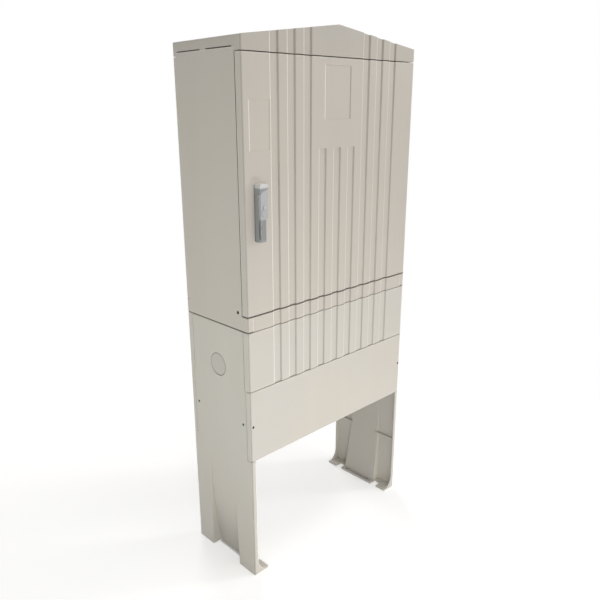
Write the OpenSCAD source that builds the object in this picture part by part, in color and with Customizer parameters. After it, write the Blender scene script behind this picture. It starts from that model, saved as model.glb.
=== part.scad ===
// Floor-standing cable distribution enclosure: a moulded cabinet with a full-width ribbed door
// and a gable roof, standing on a moulded plinth with two legs and removable covers.
// Millimetres, +Z up, front towards -Y, ground at z = 0.

/* [Enclosure] */
// Width over the side walls
width = 785; // [750:5:840]
// Depth from front face to rear face
depth = 320; // [300:5:380]
// Height of the plinth
plinth_h = 900; // [850:10:1000]
// Height of the cabinet from plinth to eaves
cabinet_h = 846; // [800:2:920]
// Rise of the roof ridge above the eaves
gable_h = 51; // [30:1:80]

/* [Moulded shell] */
// Wall of the moulded panels
wall = 4; // [3:0.5:5]
// Radius on the outer vertical edges
edge_r = 6; // [3:0.5:8]
// Seam round the door
door_gap = 3; // [2:0.5:5]
// Seam between neighbouring fixed panels
panel_gap = 2; // [1:0.25:3]
// Shadow line between plinth and cabinet
shadow_gap = 2.5; // [1.5:0.5:4]

/* [Grooves] */
// Spacing of the vertical grooves
groove_pitch = 67.5; // [62:0.5:70]
// Width of a groove at the face
groove_w = 32; // [26:1:38]
// Depth of a groove
groove_depth = 4.5; // [3:0.5:6]
// Sideways run of each groove flank
groove_run = 2.5; // [1.5:0.5:5]
// Radius on the groove lips
groove_lip_r = 4; // [2:0.5:5]

/* [Door] */
// Height of the sill strip under the door
sill_h = 47; // [40:1:60]
// Height of the roof's front band above the door
band_h = 40; // [34:1:50]
// Depth of the door's rim
door_depth = 25; // [24:1:32]
// Thickness of the door's rim
door_rim = 7; // [6:0.5:9]
// Distance from the door's top edge down to the three short grooves in its middle
short_groove_drop = 268; // [240:2:300]
// Width of the bare label recess
label_w = 120; // [90:5:150]
// Height of the bare label recess
label_h = 161; // [120:1:180]
// Depth of the bare label recess
label_depth = 2; // [1:0.5:3]
// Distance from the door's top edge down to the label recess
label_drop = 20; // [15:1:30]
// Width of the shallow note recess near the lock side
note_w = 78; // [60:1:80]
// Height of the shallow note recess
note_h = 139; // [100:1:160]
// Depth of the shallow note recess
note_depth = 1; // [0.6:0.2:1.6]
// Distance from the door's edge in to the note recess
note_in = 24; // [20:1:30]
// Distance from the door's top edge down to the note recess
note_drop = 123; // [100:1:150]

/* [Hinges] */
// Distance between the two hinges
hinge_spacing = 376; // [300:2:500]
// Distance from the door's right edge to the hinge axis
hinge_in = 6.5; // [6:0.25:7]
// Distance from the door's rear edge to the hinge axis
hinge_back = 12; // [11:0.5:13]
// Diameter of the hinge knuckles
knuckle_d = 12; // [10:0.5:12]
// Diameter of the hinge pin
hinge_pin_d = 6; // [5:0.5:7]
// Length of the fixed knuckle in the middle
fixed_knuckle_h = 24; // [18:1:30]
// Length of each knuckle on the door
door_knuckle_h = 11; // [9:1:14]

/* [Lock and handle] */
// Distance from the door's left edge to the lock axis
lock_in = 51; // [45:1:60]
// Height of the lock axis above the door's bottom edge
lock_up = 368; // [300:2:420]
// Width of the handle housing
housing_w = 30; // [28:1:36]
// Height of the handle housing
housing_h = 172; // [164:2:190]
// How far the handle housing reaches below the lock axis
housing_down = 140; // [136:1:144]
// How far the handle housing stands off the door
housing_t = 18; // [14:1:22]
// Width of the lever's upper block
lever_w = 26; // [24:1:28]
// Width of the lever's grip
grip_w = 16; // [13:1:18]
// Length of the lever's upper block below the lock axis
block_len = 67; // [64:1:74]
// Length of the whole lever below the lock axis
lever_len = 132; // [120:1:134]
// Thickness of the lever
lever_t = 10; // [9:0.5:12]
// Diameter of the lock spindle
spindle_d = 14; // [14:0.5:15]
// Module of the rack and pinion teeth
gear_module = 1.5; // [1.4:0.1:1.6]
// Number of teeth on the pinion
gear_teeth = 16; // [16:2:18]
// Width of the lock rods
rod_w = 10; // [9:0.5:12]
// Thickness of the lock rods
rod_t = 5; // [4:0.5:6]

/* [Roof] */
// Height of the roof's side skirt
skirt_h = 30; // [24:1:34]
// Length of each vent slot under the skirt
vent_w = 118; // [90:2:120]
// Height of the vent slots
vent_h = 3; // [2:0.5:5]
// Half of the distance between the two vent slots of a side
vent_in = 13; // [8:1:14]
// Distance of the middle between the two vent slots behind the middle of the side
vent_back = 9; // [0:1:10]

/* [Plinth] */
// Height of the lower cover's bottom edge above the ground
open_h = 450; // [400:5:480]
// Height of the ribbed upper cover
upper_cover_h = 200; // [180:5:220]
// Depth of the ribbed cover's rim
upper_cover_d = 25; // [22:1:30]
// Depth of the plain cover's rim
lower_cover_d = 20; // [16:1:22]
// Width of the legs' edge flanges
leg_flange = 17; // [14:1:22]
// Depth of the tapered recess at the foot of each leg
taper_depth = 36; // [28:1:38]
// Height of the tapered recess
taper_h = 400; // [340:5:420]
// Width of the tapered recess at its top
taper_top_w = 124; // [110:2:140]
// Width of the tapered recess at the ground
taper_foot_w = 154; // [145:1:160]
// Inward reach of the foot plates
foot_reach = 62; // [60:1:70]
// Radius of the flare from leg to foot plate
flare_r = 55; // [40:1:65]
// Diameter of the round knock-out in each leg
knockout_d = 80; // [60:2:90]
// Depth of the knock-out's centre below the plinth's top
knockout_drop = 148; // [130:2:160]

/* [Rails] */
// Distance of the cable rails' screws from the front and rear faces
cable_rail_in = 38.5; // [38.5:0.5:44]
// Height of the lower mounting rail in the cabinet above the plinth
low_rail_up = 250; // [200:5:300]
// Depth of the upper mounting rail in the cabinet below the eaves
high_rail_down = 186; // [160:2:220]
// Spacing of the mounting rails' holes
rail_hole_pitch = 100; // [80:5:110]
// Diameter of the mounting rails' holes
rail_hole_d = 7; // [5.5:0.5:9]

/* [Hidden] */
$fn = 48;

// Colours of the materials
shell_colour = "#c9c1b4";
plinth_colour = "#d6d1c8";
steel_colour = "#a9acae";
screw_colour = "#3b3a38";
handle_colour = "#8d8e8d";
rubber_colour = "#1d1d1d";

// Overrun of every cut past the solid that it goes through
over = 1;
// Chords in a rounded corner of an outline
arc_steps = 4;
// Radial clearance of a pin or shaft that turns in its bore
running_fit = 0.05;
// Clearance between faces that pass each other
pass_gap = 0.3;
// Clearance of a bolt in its hole
bolt_gap = 0.3;

// Levels
half_w = width / 2;
half_d = depth / 2;
sill_top = plinth_h + sill_h;
door_z = sill_top + door_gap;
eave_z = plinth_h + cabinet_h;
header_z = eave_z - band_h;
door_h = header_z - door_gap - door_z;
short_groove_h = door_h - short_groove_drop;
skirt_z = eave_z - skirt_h;
upper_cover_z = plinth_h - upper_cover_h;
upper_seat_z = upper_cover_z + upper_cover_h / 2;
cable_rail_z = (open_h + upper_cover_z) / 2;
leg_z = open_h - panel_gap;

// Grooves by number, counted from the middle of the face as far as the lock and the note recess allow
case_side = 4;
pitch_r = gear_module * gear_teeth / 2;
case_half_w = pitch_r + rod_w + case_side;
groove_zone = max(note_in + note_w, lock_in + case_half_w);
groove_side = floor((half_w - groove_zone - groove_w / 2) / groove_pitch);
short_side = 1;
all_grooves = [for (i = [-groove_side : groove_side]) i];
short_grooves = [for (i = [-short_side : short_side]) i];
outer_grooves = [for (i = all_grooves) if (abs(i) > short_side) i];

// Frame of the door opening
jamb_y = -half_d + door_depth + door_gap;
jamb_w = 36;
lip_h = 11;
rear_depth = 16;
rear_y = half_d - rear_depth;
wrap_w = 22;
wrap_edge_r = 1;
flange_w = 42;
roof_tab = 24;
roof_bolt_side = 22;
roof_bolt_x = half_w - roof_bolt_side;
roof_bolt_in = 14;
plinth_bolt_side = 24;
plinth_bolt_x = half_w - plinth_bolt_side;
plinth_bolt_y = 90;
flange_y = 128;
sill_tab_back = 34;
sill_tab_h = 23;
sill_screw_in = 47;
sill_screw_up = 10;

// Bolts and screws, by shank
m4 = 4;
m5 = 5;
m6 = 6;
m8 = 8;
head_share = 1.8;
head_h_share = 0.6;
nut_h_share = 0.8;
sunk_h = 2.2;
sunk_gap = 0.4;

// Sideways run of the label and note recesses' edges for each millimetre of depth
recess_slope = 1.5;

// Seal in the seam behind the door's rim
seal_w = 5;
seal_in = 1;
seal_t = door_gap - pass_gap;

// Hinges
hinge_x = half_w - hinge_in;
hinge_y = -half_d + door_depth - hinge_back;
hinge_mid = door_z + door_h / 2;
hinge_zs = [hinge_mid - hinge_spacing / 2, hinge_mid + hinge_spacing / 2];
knuckle_gap = 0.5;
hinge_arm_t = 5;
hinge_slot_gap = 1;
bracket_t = 4;
bracket_h = 56;
bracket_back = 50;
bracket_screw_up = 18;
bracket_screw_in = 14;
leaf_t = 3;
leaf_w = 34;
leaf_clear = 2;
leaf_screw_in = 12;
leaf_screw_up = 16;
leaf_h = fixed_knuckle_h + 2 * (knuckle_gap + door_knuckle_h);
hinge_notch_gap = 4;
hinge_notch_h = leaf_h + 2 * hinge_notch_gap;
pin_head_t = 2;
pin_head_d = 10;
insert_depth = 6;

// Handle, spindle and lever
lock_x = -half_w + lock_in;
lock_z = door_z + lock_up;
housing_r = 6;
housing_mid = lock_z - housing_down + housing_h / 2;
lever_gap = 0.4;
lever_back = housing_t + lever_gap;
lever_front = lever_back + lever_t;
lever_pivot_in = 4;
lever_pivot = lever_back + lever_pivot_in;
lift_angle = 35;
lever_pin_d = 4;
lever_edge_r = 3;
lever_slot_down = 6;
grip_end_t = 6;
tongue_w = 9.4;
tongue_side = 3.7;
slot_skin = 1.8;
sweep_gap = 0.5;
sweep_r = norm([lever_w / 2, lever_t - lever_pivot_in]) + sweep_gap;
cylinder_d = 17;
cylinder_down = 51;
key_slot_w = 1.6;
key_slot_h = 9;
key_slot_depth = 4;
cap_d = 21;
cap_t = 2;
cap_rise = 16;
cap_ear_w = 8;
rivet_d = 4;
rivet_head_d = 7;
rivet_head_t = 0.8;
rivet_depth = 4;
handle_out = lever_front + pass_gap + cap_t + pass_gap + rivet_head_t;

// Lock case, rack and pinion, measured back from the door's front face
rack_pitch = PI * gear_module;
addendum = gear_module;
dedendum_share = 1.25;
dedendum = dedendum_share * gear_module;
pressure_angle = 20;
backlash = 0.3;
tooth_steps = 5;
stroke = pitch_r * PI / 2;
rack_tip = pitch_r - addendum + pass_gap / 2;
rack_end = 9;
pinion_t = 6;
pinion_gap = 5;
pinion_y = wall + pinion_gap;
case_wall = 2.5;
case_half_h = 36;
case_reach = 16;
case_depth = wall + case_reach;
journal_d = 10;
lock_screw_up = 24;
pillar_d = 9;
lock_screw_depth = 12;
rod_y = pinion_y + pinion_t / 2;
rod_x = rack_tip + rod_w / 2;
rod_tip_gap = 3;
rod_hole_gap = 1;
guide_w = 40;
guide_h = 18;
guide_wall = 3;
guide_in = 52;
guide_pad = 3;
guide_screw_out = 14;
guide_insert = 5;

// Plinth
seat_flange = 30;
cover_seat_y = half_d - wall;
cover_screw_in = 10.5;
cover_boss_d = 12;
shadow_in = 2;
foot_t = 8;
taper_steps = 10;
notch_from = 84;
notch_w = 30;
notch_reach = 30;
foot_slot_w = 14;
foot_slot_len = 135;
foot_slot_in = 13;
foot_rib_z = 226;
foot_rib_reach = 14;
plug_gap = 0.8;
plug_lip = 6;
plug_lip_t = 3;
plug_bevel = 2;

// Cable rails and mounting rails
rail_t = 2.5;
cable_rail_h = 40;
cable_rail_depth = 24;
clamp_slot_w = 9;
clamp_slot_len = 34;
clamp_pitch = 60;
clamp_side = floor((half_w - wall - clamp_slot_len) / clamp_pitch);
mount_rail_h = 34;
mount_rail_depth = 18;
mount_bolt_side = 20;
mount_rail_bolt_x = half_w - mount_bolt_side;
rail_hole_side = floor((mount_rail_bolt_x - rail_hole_pitch / 2) / rail_hole_pitch);
rear_screw_side = 22;
rear_screw_x = half_w - rear_screw_side;
rear_screw_end = 60;
rear_boss_d = 14;

// Every piece is drawn about the middle of the enclosure's own footprint. The handle stands out
// in front, so the whole part moves back by half of that and its box is centred on the origin.
module seat() {
  translate([0, handle_out / 2, 0])
    children();
}

// Outlines

function unit(v) = v / norm(v);

// Chords of the arc of radius r that rounds corner p between its neighbours a and b
function rounded(a, p, b, r) =
  let (
    u = unit(a - p),
    v = unit(b - p),
    half = acos(u * v) / 2,
    mid = p + unit(u + v) * r / sin(half),
    s = p + u * r / tan(half) - mid,
    e = p + v * r / tan(half) - mid,
    from = atan2(s.y, s.x),
    swing = atan2(e.y, e.x) - from,
    turn = swing > 180 ? swing - 360 : swing < -180 ? swing + 360 : swing
  )
  [for (i = [0 : arc_steps]) let (a = from + turn * i / arc_steps) mid + r * [cos(a), sin(a)]];

// A closed outline with one radius on every corner
function rounded_outline(points, r) =
  let (n = len(points))
  [for (i = [0 : n - 1]) each rounded(points[(i + n - 1) % n], points[i], points[(i + 1) % n], r)];

// One groove in an outer face at y = 0, from left to right
function groove_points(number) =
  let (
    a = number * groove_pitch - groove_w / 2,
    b = number * groove_pitch + groove_w / 2,
    floor_a = [a + groove_run, groove_depth],
    floor_b = [b - groove_run, groove_depth]
  )
  concat(
    rounded([a - groove_w, 0], [a, 0], floor_a, groove_lip_r),
    [floor_a, floor_b],
    rounded(floor_b, [b, 0], [b + groove_w, 0], groove_lip_r)
  );

// The back of the same groove, one wall behind its face, from right to left
function groove_back_points(number) =
  let (
    spread = wall * (norm([groove_run, groove_depth]) - groove_run) / groove_depth,
    a = number * groove_pitch - groove_w / 2 - spread,
    b = number * groove_pitch + groove_w / 2 + spread,
    back = wall + groove_depth
  )
  [[b, wall], [b - groove_run, back], [a + groove_run, back], [a, wall]];

// Front of a tray panel with its rims, from the left rim's rear edge to the right rim's
function tray_front(half, d, r, grooves) =
  concat(
    [[-half, d]],
    rounded([-half, d], [-half, 0], [0, 0], r),
    [for (g = grooves) each groove_points(g)],
    rounded([0, 0], [half, 0], [half, d], r),
    [[half, d]]
  );

// Back of a tray panel inside its rims, from right to left
function tray_back(half, d, rim, grooves) =
  let (last = len(grooves) - 1)
  concat(
    [[half - rim, d], [half - rim, wall]],
    [for (i = [0 : 1 : last]) each groove_back_points(grooves[last - i])],
    [[rim - half, wall], [rim - half, d]]
  );

// Upright stretch of a tray panel, with its two side rims
module tray_skin(half, d, rim, r, h, grooves) {
  linear_extrude(h)
    polygon(concat(tray_front(half, d, r, grooves), tray_back(half, d, rim, grooves)));
}

// Level rim that closes the end of a tray panel
module tray_end(half, d, rim, r, grooves) {
  linear_extrude(rim)
    polygon(tray_front(half, d, r, grooves));
}

// Whole tray panel: outer face at y = 0, rims towards +Y, foot at z = 0
module tray(half, d, rim, r, h, grooves) {
  tray_skin(half, d, rim, r, h, grooves);
  tray_end(half, d, rim, r, grooves);
  translate([0, 0, h - rim])
    tray_end(half, d, rim, r, grooves);
}

// Solid of the enclosure's footprint with its rounded corners
module footprint(h) {
  linear_extrude(h)
    rounded_rect(width, depth, edge_r);
}

module rounded_rect(w, d, r) {
  square([w - 2 * r, d], center = true);
  square([w, d - 2 * r], center = true);
  for (x = [-1, 1], y = [-1, 1])
    translate([x * (w / 2 - r), y * (d / 2 - r)])
      circle(r);
}

// Block between two corners
module block(low, high) {
  translate(low)
    cube(high - low);
}

// Children turned so that their own +Z points to -Y, at a distance in front of the door's face
module on_face(x, out, z) {
  translate([x, -half_d - out, z])
    rotate([90, 0, 0])
      children();
}

// Child for the front and the same turned round for the rear
module front_and_rear() {
  children();
  mirror([0, 1, 0])
    children();
}

module both_sides() {
  children();
  mirror([1, 0, 0])
    children();
}

// Hole along Y through a panel
module hole_y(x, y, z, d, h) {
  translate([x, y - over, z])
    rotate([-90, 0, 0])
      cylinder(h = h + 2 * over, d = d);
}

// Hole along X
module hole_x(x, y, z, d, h) {
  translate([x - over, y, z])
    rotate([0, 90, 0])
      cylinder(h = h + 2 * over, d = d);
}

// Hole along Z
module hole_z(x, y, z, d, h) {
  translate([x, y, z - over])
    cylinder(h = h + 2 * over, d = d);
}

// Screw pointing down -Z, its head's underside at z = 0
module screw(d, length) {
  cylinder(h = d * head_h_share, d = d * head_share);
  translate([0, 0, -length])
    cylinder(h = length, d = d);
}

// Hexagon nut pointing down -Z from z = 0
module nut(d) {
  translate([0, 0, -d * nut_h_share])
    cylinder(h = d * nut_h_share, d = d * head_share, $fn = 6);
}

// Bolt pointing down -Z through a grip, with its nut beyond
module bolt(d, grip) {
  screw(d, grip + d * nut_h_share);
  translate([0, 0, -grip])
    nut(d);
}

// Low-head screw pointing down -Z, its head sunk flush with a face at z = 0
module sunk_screw(d, length) {
  translate([0, 0, -sunk_h])
    cylinder(h = sunk_h, d = d * head_share);
  translate([0, 0, -length])
    cylinder(h = length, d = d);
}

// Stepped hole for a sunk screw, from a face at z = 0 down
module sunk_hole(d, length) {
  translate([0, 0, -sunk_h])
    cylinder(h = sunk_h + over, d = d * head_share + 2 * sunk_gap);
  translate([0, 0, -length - over])
    cylinder(h = length + over, d = d + bolt_gap);
}

// Children turned so that their own +Z points to -X, at the left side wall's face
module on_left_side(y, z) {
  translate([-half_w, y, z])
    rotate([0, -90, 0])
      children();
}

// Plinth legs

// Floor of the leg's recess from the ground up: it curves in from the leg's face towards the foot
function taper_floor(margin) = [
  for (i = [0 : taper_steps])
    let (left = 1 - i / taper_steps)
    [-half_w + margin + taper_depth * left * left, taper_h * (1 - left)]
];

// Tapered recess, grown outward by a margin
module taper(margin) {
  intersection() {
    translate([0, half_d, 0])
      rotate([90, 0, 0])
        linear_extrude(depth)
          polygon(concat(
            [[-half_w - over, -over], [-half_w + taper_depth + margin, -over]],
            taper_floor(margin),
            [[-half_w - over, taper_h]]
          ));
    translate([-half_w - over, 0, 0])
      rotate([90, 0, 90])
        linear_extrude(over + taper_depth + margin)
          polygon([
            [-taper_foot_w / 2 - margin, -over],
            [taper_foot_w / 2 + margin, -over],
            [taper_top_w / 2 + margin, taper_h],
            [-taper_top_w / 2 - margin, taper_h]
          ]);
  }
}

// Edge flange of a leg, which flares out into the foot
module leg_edge() {
  translate([-half_w, -half_d + wall, 0])
    rotate([90, 0, 0])
      linear_extrude(wall) {
        square([leg_flange, leg_z]);
        difference() {
          square([leg_flange + flare_r, flare_r]);
          translate([leg_flange + flare_r, flare_r])
            circle(flare_r, $fn = 96);
          translate([foot_reach, 0])
            square([flare_r + leg_flange, flare_r]);
        }
      }
}

// Foot plate with its two finger notches and the long fixing slot
module foot_plate() {
  difference() {
    block([-half_w, -half_d, 0], [-half_w + foot_reach, half_d, foot_t]);
    for (side = [-1, 1])
      translate([-half_w + notch_reach, side * (notch_from + notch_w / 2) - notch_w / 2, -over])
        cube([foot_reach, notch_w, foot_t + 2 * over]);
    translate([-half_w + foot_reach - foot_slot_in, 0, -over])
      linear_extrude(foot_t + 2 * over) {
        square([foot_slot_w, foot_slot_len - foot_slot_w], center = true);
        for (side = [-1, 1])
          translate([0, side * (foot_slot_len - foot_slot_w) / 2])
            circle(d = foot_slot_w);
      }
  }
}

module leg_walls() {
  upper_y = -half_d + upper_cover_d + panel_gap;
  lower_y = -half_d + lower_cover_d + panel_gap;
  block([-half_w, -half_d, 0], [-half_w + wall, half_d, leg_z]);
  block([-half_w, lower_y, open_h - wall], [-half_w + wall, -lower_y, upper_cover_z]);
  block([-half_w, upper_y, upper_cover_z - wall], [-half_w + wall, -upper_y, plinth_h - shadow_gap]);
  block([-half_w + shadow_in, upper_y, plinth_h - wall], [-half_w + flange_w, -upper_y, plinth_h]);
  front_and_rear() {
    leg_edge();
    block([-half_w, -half_d, leg_z - wall], [-half_w + leg_flange, lower_y + wall, leg_z]);
    block([-half_w, lower_y, open_h - wall], [-half_w + seat_flange, lower_y + wall, upper_cover_z]);
    block([-half_w, lower_y, upper_cover_z - wall], [-half_w + seat_flange, upper_y + wall, upper_cover_z]);
    block(
      [-half_w, upper_y, upper_cover_z - wall],
      [-half_w + seat_flange, upper_y + wall, plinth_h - shadow_gap]
    );
    // Seats behind the covers' skins
    for (seat_at = [[lower_y, cable_rail_z], [upper_y, upper_seat_z]])
      translate([-half_w + cover_screw_in, -cover_seat_y, seat_at.y])
        rotate([-90, 0, 0])
          cylinder(h = seat_at.x + cover_seat_y + wall, d = cover_boss_d);
    block(
      [-half_w, -half_d, foot_rib_z],
      [-half_w + foot_rib_reach, -taper_top_w / 2, foot_rib_z + wall]
    );
  }
}

module base_side() {
  difference() {
    intersection() {
      footprint(plinth_h);
      union() {
        leg_walls();
        intersection() {
          taper(wall);
          block([-half_w, -half_d, 0], [0, half_d, taper_h]);
        }
        foot_plate();
      }
    }
    taper(0);
    hole_x(-half_w, 0, plinth_h - knockout_drop, knockout_d, wall);
    for (side = [-1, 1]) {
      on_left_side(side * (half_d - cable_rail_in), cable_rail_z)
        sunk_hole(m5, wall);
      hole_z(-plinth_bolt_x, side * plinth_bolt_y, plinth_h - wall, m8 + bolt_gap, wall);
    }
    front_and_rear()
      hole_y(
        -half_w + cover_screw_in,
        -cover_seat_y,
        cable_rail_z,
        m5 + bolt_gap,
        lower_cover_d
      );
  }
}

module left_base_side() {
  color(plinth_colour)
    seat()
      base_side();
}

module right_base_side() {
  color(plinth_colour)
    seat()
      mirror([1, 0, 0])
        base_side();
}

// Plinth covers

module upper_cover() {
  translate([0, -half_d, upper_cover_z])
    tray(half_w, upper_cover_d, wall, edge_r, upper_cover_h - shadow_gap, all_grooves);
}

module lower_cover() {
  difference() {
    translate([0, -half_d, open_h])
      tray(half_w, lower_cover_d, wall, edge_r, upper_cover_z - panel_gap - open_h, []);
    for (side = [-1, 1])
      on_face(side * (half_w - cover_screw_in), 0, cable_rail_z)
        sunk_hole(m5, wall);
  }
}

module front_upper_cover() {
  color(plinth_colour)
    seat()
      upper_cover();
}

module rear_upper_cover() {
  color(plinth_colour)
    seat()
      rotate(180)
        upper_cover();
}

module front_lower_cover() {
  color(plinth_colour)
    seat()
      lower_cover();
}

module rear_lower_cover() {
  color(plinth_colour)
    seat()
      rotate(180)
        lower_cover();
}

module cover_screws() {
  color(screw_colour)
    seat()
      front_and_rear()
        both_sides()
          on_face(-half_w + cover_screw_in, 0, cable_rail_z)
            sunk_screw(m5, lower_cover_d);
}

// Plug in a leg's knock-out: flush disc with a lip behind the wall
module blanking_plug() {
  translate([-half_w, 0, plinth_h - knockout_drop])
    rotate([0, 90, 0])
      rotate_extrude($fn = 96)
        polygon([
          [0, 0],
          [knockout_d / 2 - plug_gap - plug_bevel, 0],
          [knockout_d / 2 - plug_gap, plug_bevel],
          [knockout_d / 2 - plug_gap, wall],
          [knockout_d / 2 + plug_lip, wall],
          [knockout_d / 2 + plug_lip, wall + plug_lip_t],
          [0, wall + plug_lip_t]
        ]);
}

module left_blanking_plug() {
  color(plinth_colour)
    seat()
      blanking_plug();
}

module right_blanking_plug() {
  color(plinth_colour)
    seat()
      mirror([1, 0, 0])
        blanking_plug();
}

// Cable rail across the plinth: an angle with end plates and slots for cable clamps
module cable_rail() {
  rail_x = half_w - wall;
  rail_y = -half_d + cable_rail_in - cable_rail_depth / 2;
  low = cable_rail_z - cable_rail_h / 2;
  high = cable_rail_z + cable_rail_h / 2;
  difference() {
    union() {
      block([-rail_x, rail_y, low], [rail_x, rail_y + rail_t, high]);
      block([-rail_x, rail_y, high - rail_t], [rail_x, rail_y + cable_rail_depth, high]);
      both_sides()
        block([-rail_x, rail_y, low], [-rail_x + rail_t, rail_y + cable_rail_depth, high]);
    }
    both_sides()
      hole_x(-rail_x, rail_y + cable_rail_depth / 2, cable_rail_z, m5 + bolt_gap, rail_t);
    for (i = [-clamp_side : clamp_side])
      translate([i * clamp_pitch - clamp_slot_len / 2, rail_y + cable_rail_depth / 2, high - rail_t - over])
        linear_extrude(rail_t + 2 * over)
          slot_outline(clamp_slot_len, clamp_slot_w);
  }
}

// Long hole with round ends, from x = 0 to its length
module slot_outline(length, w) {
  translate([w / 2, -w / 2])
    square([length - w, w]);
  for (x = [w / 2, length - w / 2])
    translate([x, 0])
      circle(d = w);
}

module front_cable_rail() {
  color(steel_colour)
    seat()
      cable_rail();
}

module rear_cable_rail() {
  color(steel_colour)
    seat()
      rotate(180)
        cable_rail();
}

module cable_rail_screws() {
  color(screw_colour)
    seat()
      front_and_rear()
        both_sides()
          on_left_side(-half_d + cable_rail_in, cable_rail_z) {
            sunk_screw(m5, wall + rail_t + m5 * nut_h_share);
            translate([0, 0, -wall - rail_t])
              nut(m5);
          }
}

// Cabinet walls

module side_wall() {
  difference() {
    intersection() {
      footprint(skirt_z);
      union() {
        block([-half_w, jamb_y, plinth_h], [-half_w + wall, rear_y, skirt_z]);
        block([-half_w, -half_d, plinth_h], [-half_w + wall, half_d, sill_top]);
        block([-half_w, -flange_y, plinth_h], [-half_w + flange_w, flange_y, plinth_h + wall]);
        // Front corner beside the sill, door jamb and the tab that carries the roof
        block([-half_w, -half_d, plinth_h], [-half_w + wrap_w, -half_d + wall, sill_top]);
        block([-half_w, -half_d, sill_top - wall], [-half_w + wrap_w, jamb_y + wall, sill_top]);
        block([-half_w, jamb_y, sill_top], [-half_w + jamb_w, jamb_y + wall, header_z]);
        block([-half_w, jamb_y, header_z - wall], [-half_w + jamb_w, jamb_y + roof_tab, header_z]);
        // The same at the rear
        block([-half_w, half_d - wall, plinth_h], [-half_w + wrap_w, half_d, sill_top]);
        block([-half_w, rear_y - wall, sill_top - wall], [-half_w + wrap_w, half_d, sill_top]);
        block([-half_w, rear_y - wall, sill_top], [-half_w + jamb_w, rear_y, header_z]);
        block([-half_w, rear_y - roof_tab, header_z - wall], [-half_w + jamb_w, rear_y, header_z]);
      }
    }
    for (y = [jamb_y + roof_bolt_in, rear_y - roof_bolt_in])
      hole_z(-roof_bolt_x, y, header_z - wall, m6 + bolt_gap, wall);
    for (side = [-1, 1])
      hole_z(-plinth_bolt_x, side * plinth_bolt_y, plinth_h, m8 + bolt_gap, wall);
    on_left_side(-half_d + sill_screw_in, sill_top + sill_screw_up)
      sunk_hole(m6, wall);
    for (z = rear_screw_zs)
      hole_y(-rear_screw_x, rear_y - wall, z, m5 + bolt_gap, wall);
    for (z = mount_rail_zs)
      hole_y(-mount_rail_bolt_x, rear_y - wall, z, m6 + bolt_gap, wall);
  }
}

module left_side_wall() {
  color(shell_colour)
    seat()
      side_wall();
}

// The hinge side, with slots in the jamb for the hinge arms and holes for their brackets' screws
module right_side_wall() {
  color(shell_colour)
    seat()
      difference() {
        mirror([1, 0, 0])
          side_wall();
        for (z = hinge_zs) {
          translate([
            hinge_x - knuckle_d / 2 - hinge_slot_gap,
            jamb_y - over,
            z - fixed_knuckle_h / 2 - hinge_slot_gap
          ])
            cube([
              half_w - wall - hinge_x + knuckle_d / 2 + hinge_slot_gap,
              wall + 2 * over,
              fixed_knuckle_h + 2 * hinge_slot_gap
            ]);
          for (side = [-1, 1])
            hole_x(half_w - wall, bracket_y, z + side * bracket_screw_up, m5 + bolt_gap, wall / 2 - over);
        }
      }
}

// Sill strip across the cabinet's foot, with the door stop behind it and tabs at its ends
module sill(d) {
  back_y = -half_d + d;
  end_x = half_w - wall;
  stop_x = half_w - jamb_w - panel_gap;
  tab_y = back_y + wall + panel_gap;
  translate([0, -half_d, plinth_h])
    tray(half_w - wrap_w, d, wall, wrap_edge_r, sill_h, all_grooves);
  block([-stop_x, back_y - wall, sill_top - wall], [stop_x, back_y + wall, sill_top]);
  block([-stop_x, back_y, sill_top - wall], [stop_x, back_y + wall, sill_top + lip_h]);
  both_sides() {
    block([-stop_x, back_y, sill_top - wall], [-stop_x + wall, back_y + sill_tab_back, sill_top]);
    block([-end_x, tab_y, sill_top - wall], [-stop_x + wall, back_y + sill_tab_back, sill_top]);
    block(
      [-end_x, tab_y, sill_top - wall],
      [-end_x + wall, back_y + sill_tab_back, sill_top + sill_tab_h]
    );
  }
}

module front_sill() {
  color(shell_colour)
    seat()
      difference() {
        sill(door_depth + door_gap);
        both_sides()
          hole_x(-half_w + wall, -half_d + sill_screw_in, sill_top + sill_screw_up, m6 + bolt_gap, wall);
        // Strike for the lower lock rod
        rod_hole(lock_x + rod_x, sill_top - wall);
      }
}

module rear_sill() {
  color(shell_colour)
    seat()
      rotate(180)
        sill(rear_depth);
}

module sill_screws() {
  color(screw_colour)
    seat()
      both_sides()
        on_left_side(-half_d + sill_screw_in, sill_top + sill_screw_up) {
          sunk_screw(m6, 2 * wall + m6 * nut_h_share);
          translate([0, 0, -2 * wall])
            nut(m6);
        }
}

// Rear wall: a ribbed tray screwed to the side walls' rear flanges from inside
rear_wall_h = header_z - sill_top - 2 * panel_gap;
rear_screw_zs = [
  sill_top + rear_screw_end,
  (sill_top + header_z) / 2,
  header_z - rear_screw_end
];

module rear_wall() {
  color(shell_colour)
    seat()
      difference() {
        union() {
          rotate(180)
            translate([0, -half_d, sill_top + panel_gap])
              tray(half_w, rear_depth, wall, edge_r, rear_wall_h, all_grooves);
          for (side = [-1, 1], z = rear_screw_zs)
            translate([side * rear_screw_x, rear_y, z])
              rotate([-90, 0, 0])
                cylinder(h = rear_depth - wall / 2, d = rear_boss_d);
        }
        for (side = [-1, 1], z = rear_screw_zs)
          hole_y(side * rear_screw_x, rear_y, z, m5 + bolt_gap, rear_depth - wall - over);
      }
}

module rear_wall_screws() {
  color(screw_colour)
    seat()
      for (side = [-1, 1], z = rear_screw_zs)
        translate([side * rear_screw_x, rear_y - wall, z])
          rotate([90, 0, 0])
            screw(m5, rear_depth - wall);
}

// Roof

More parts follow.
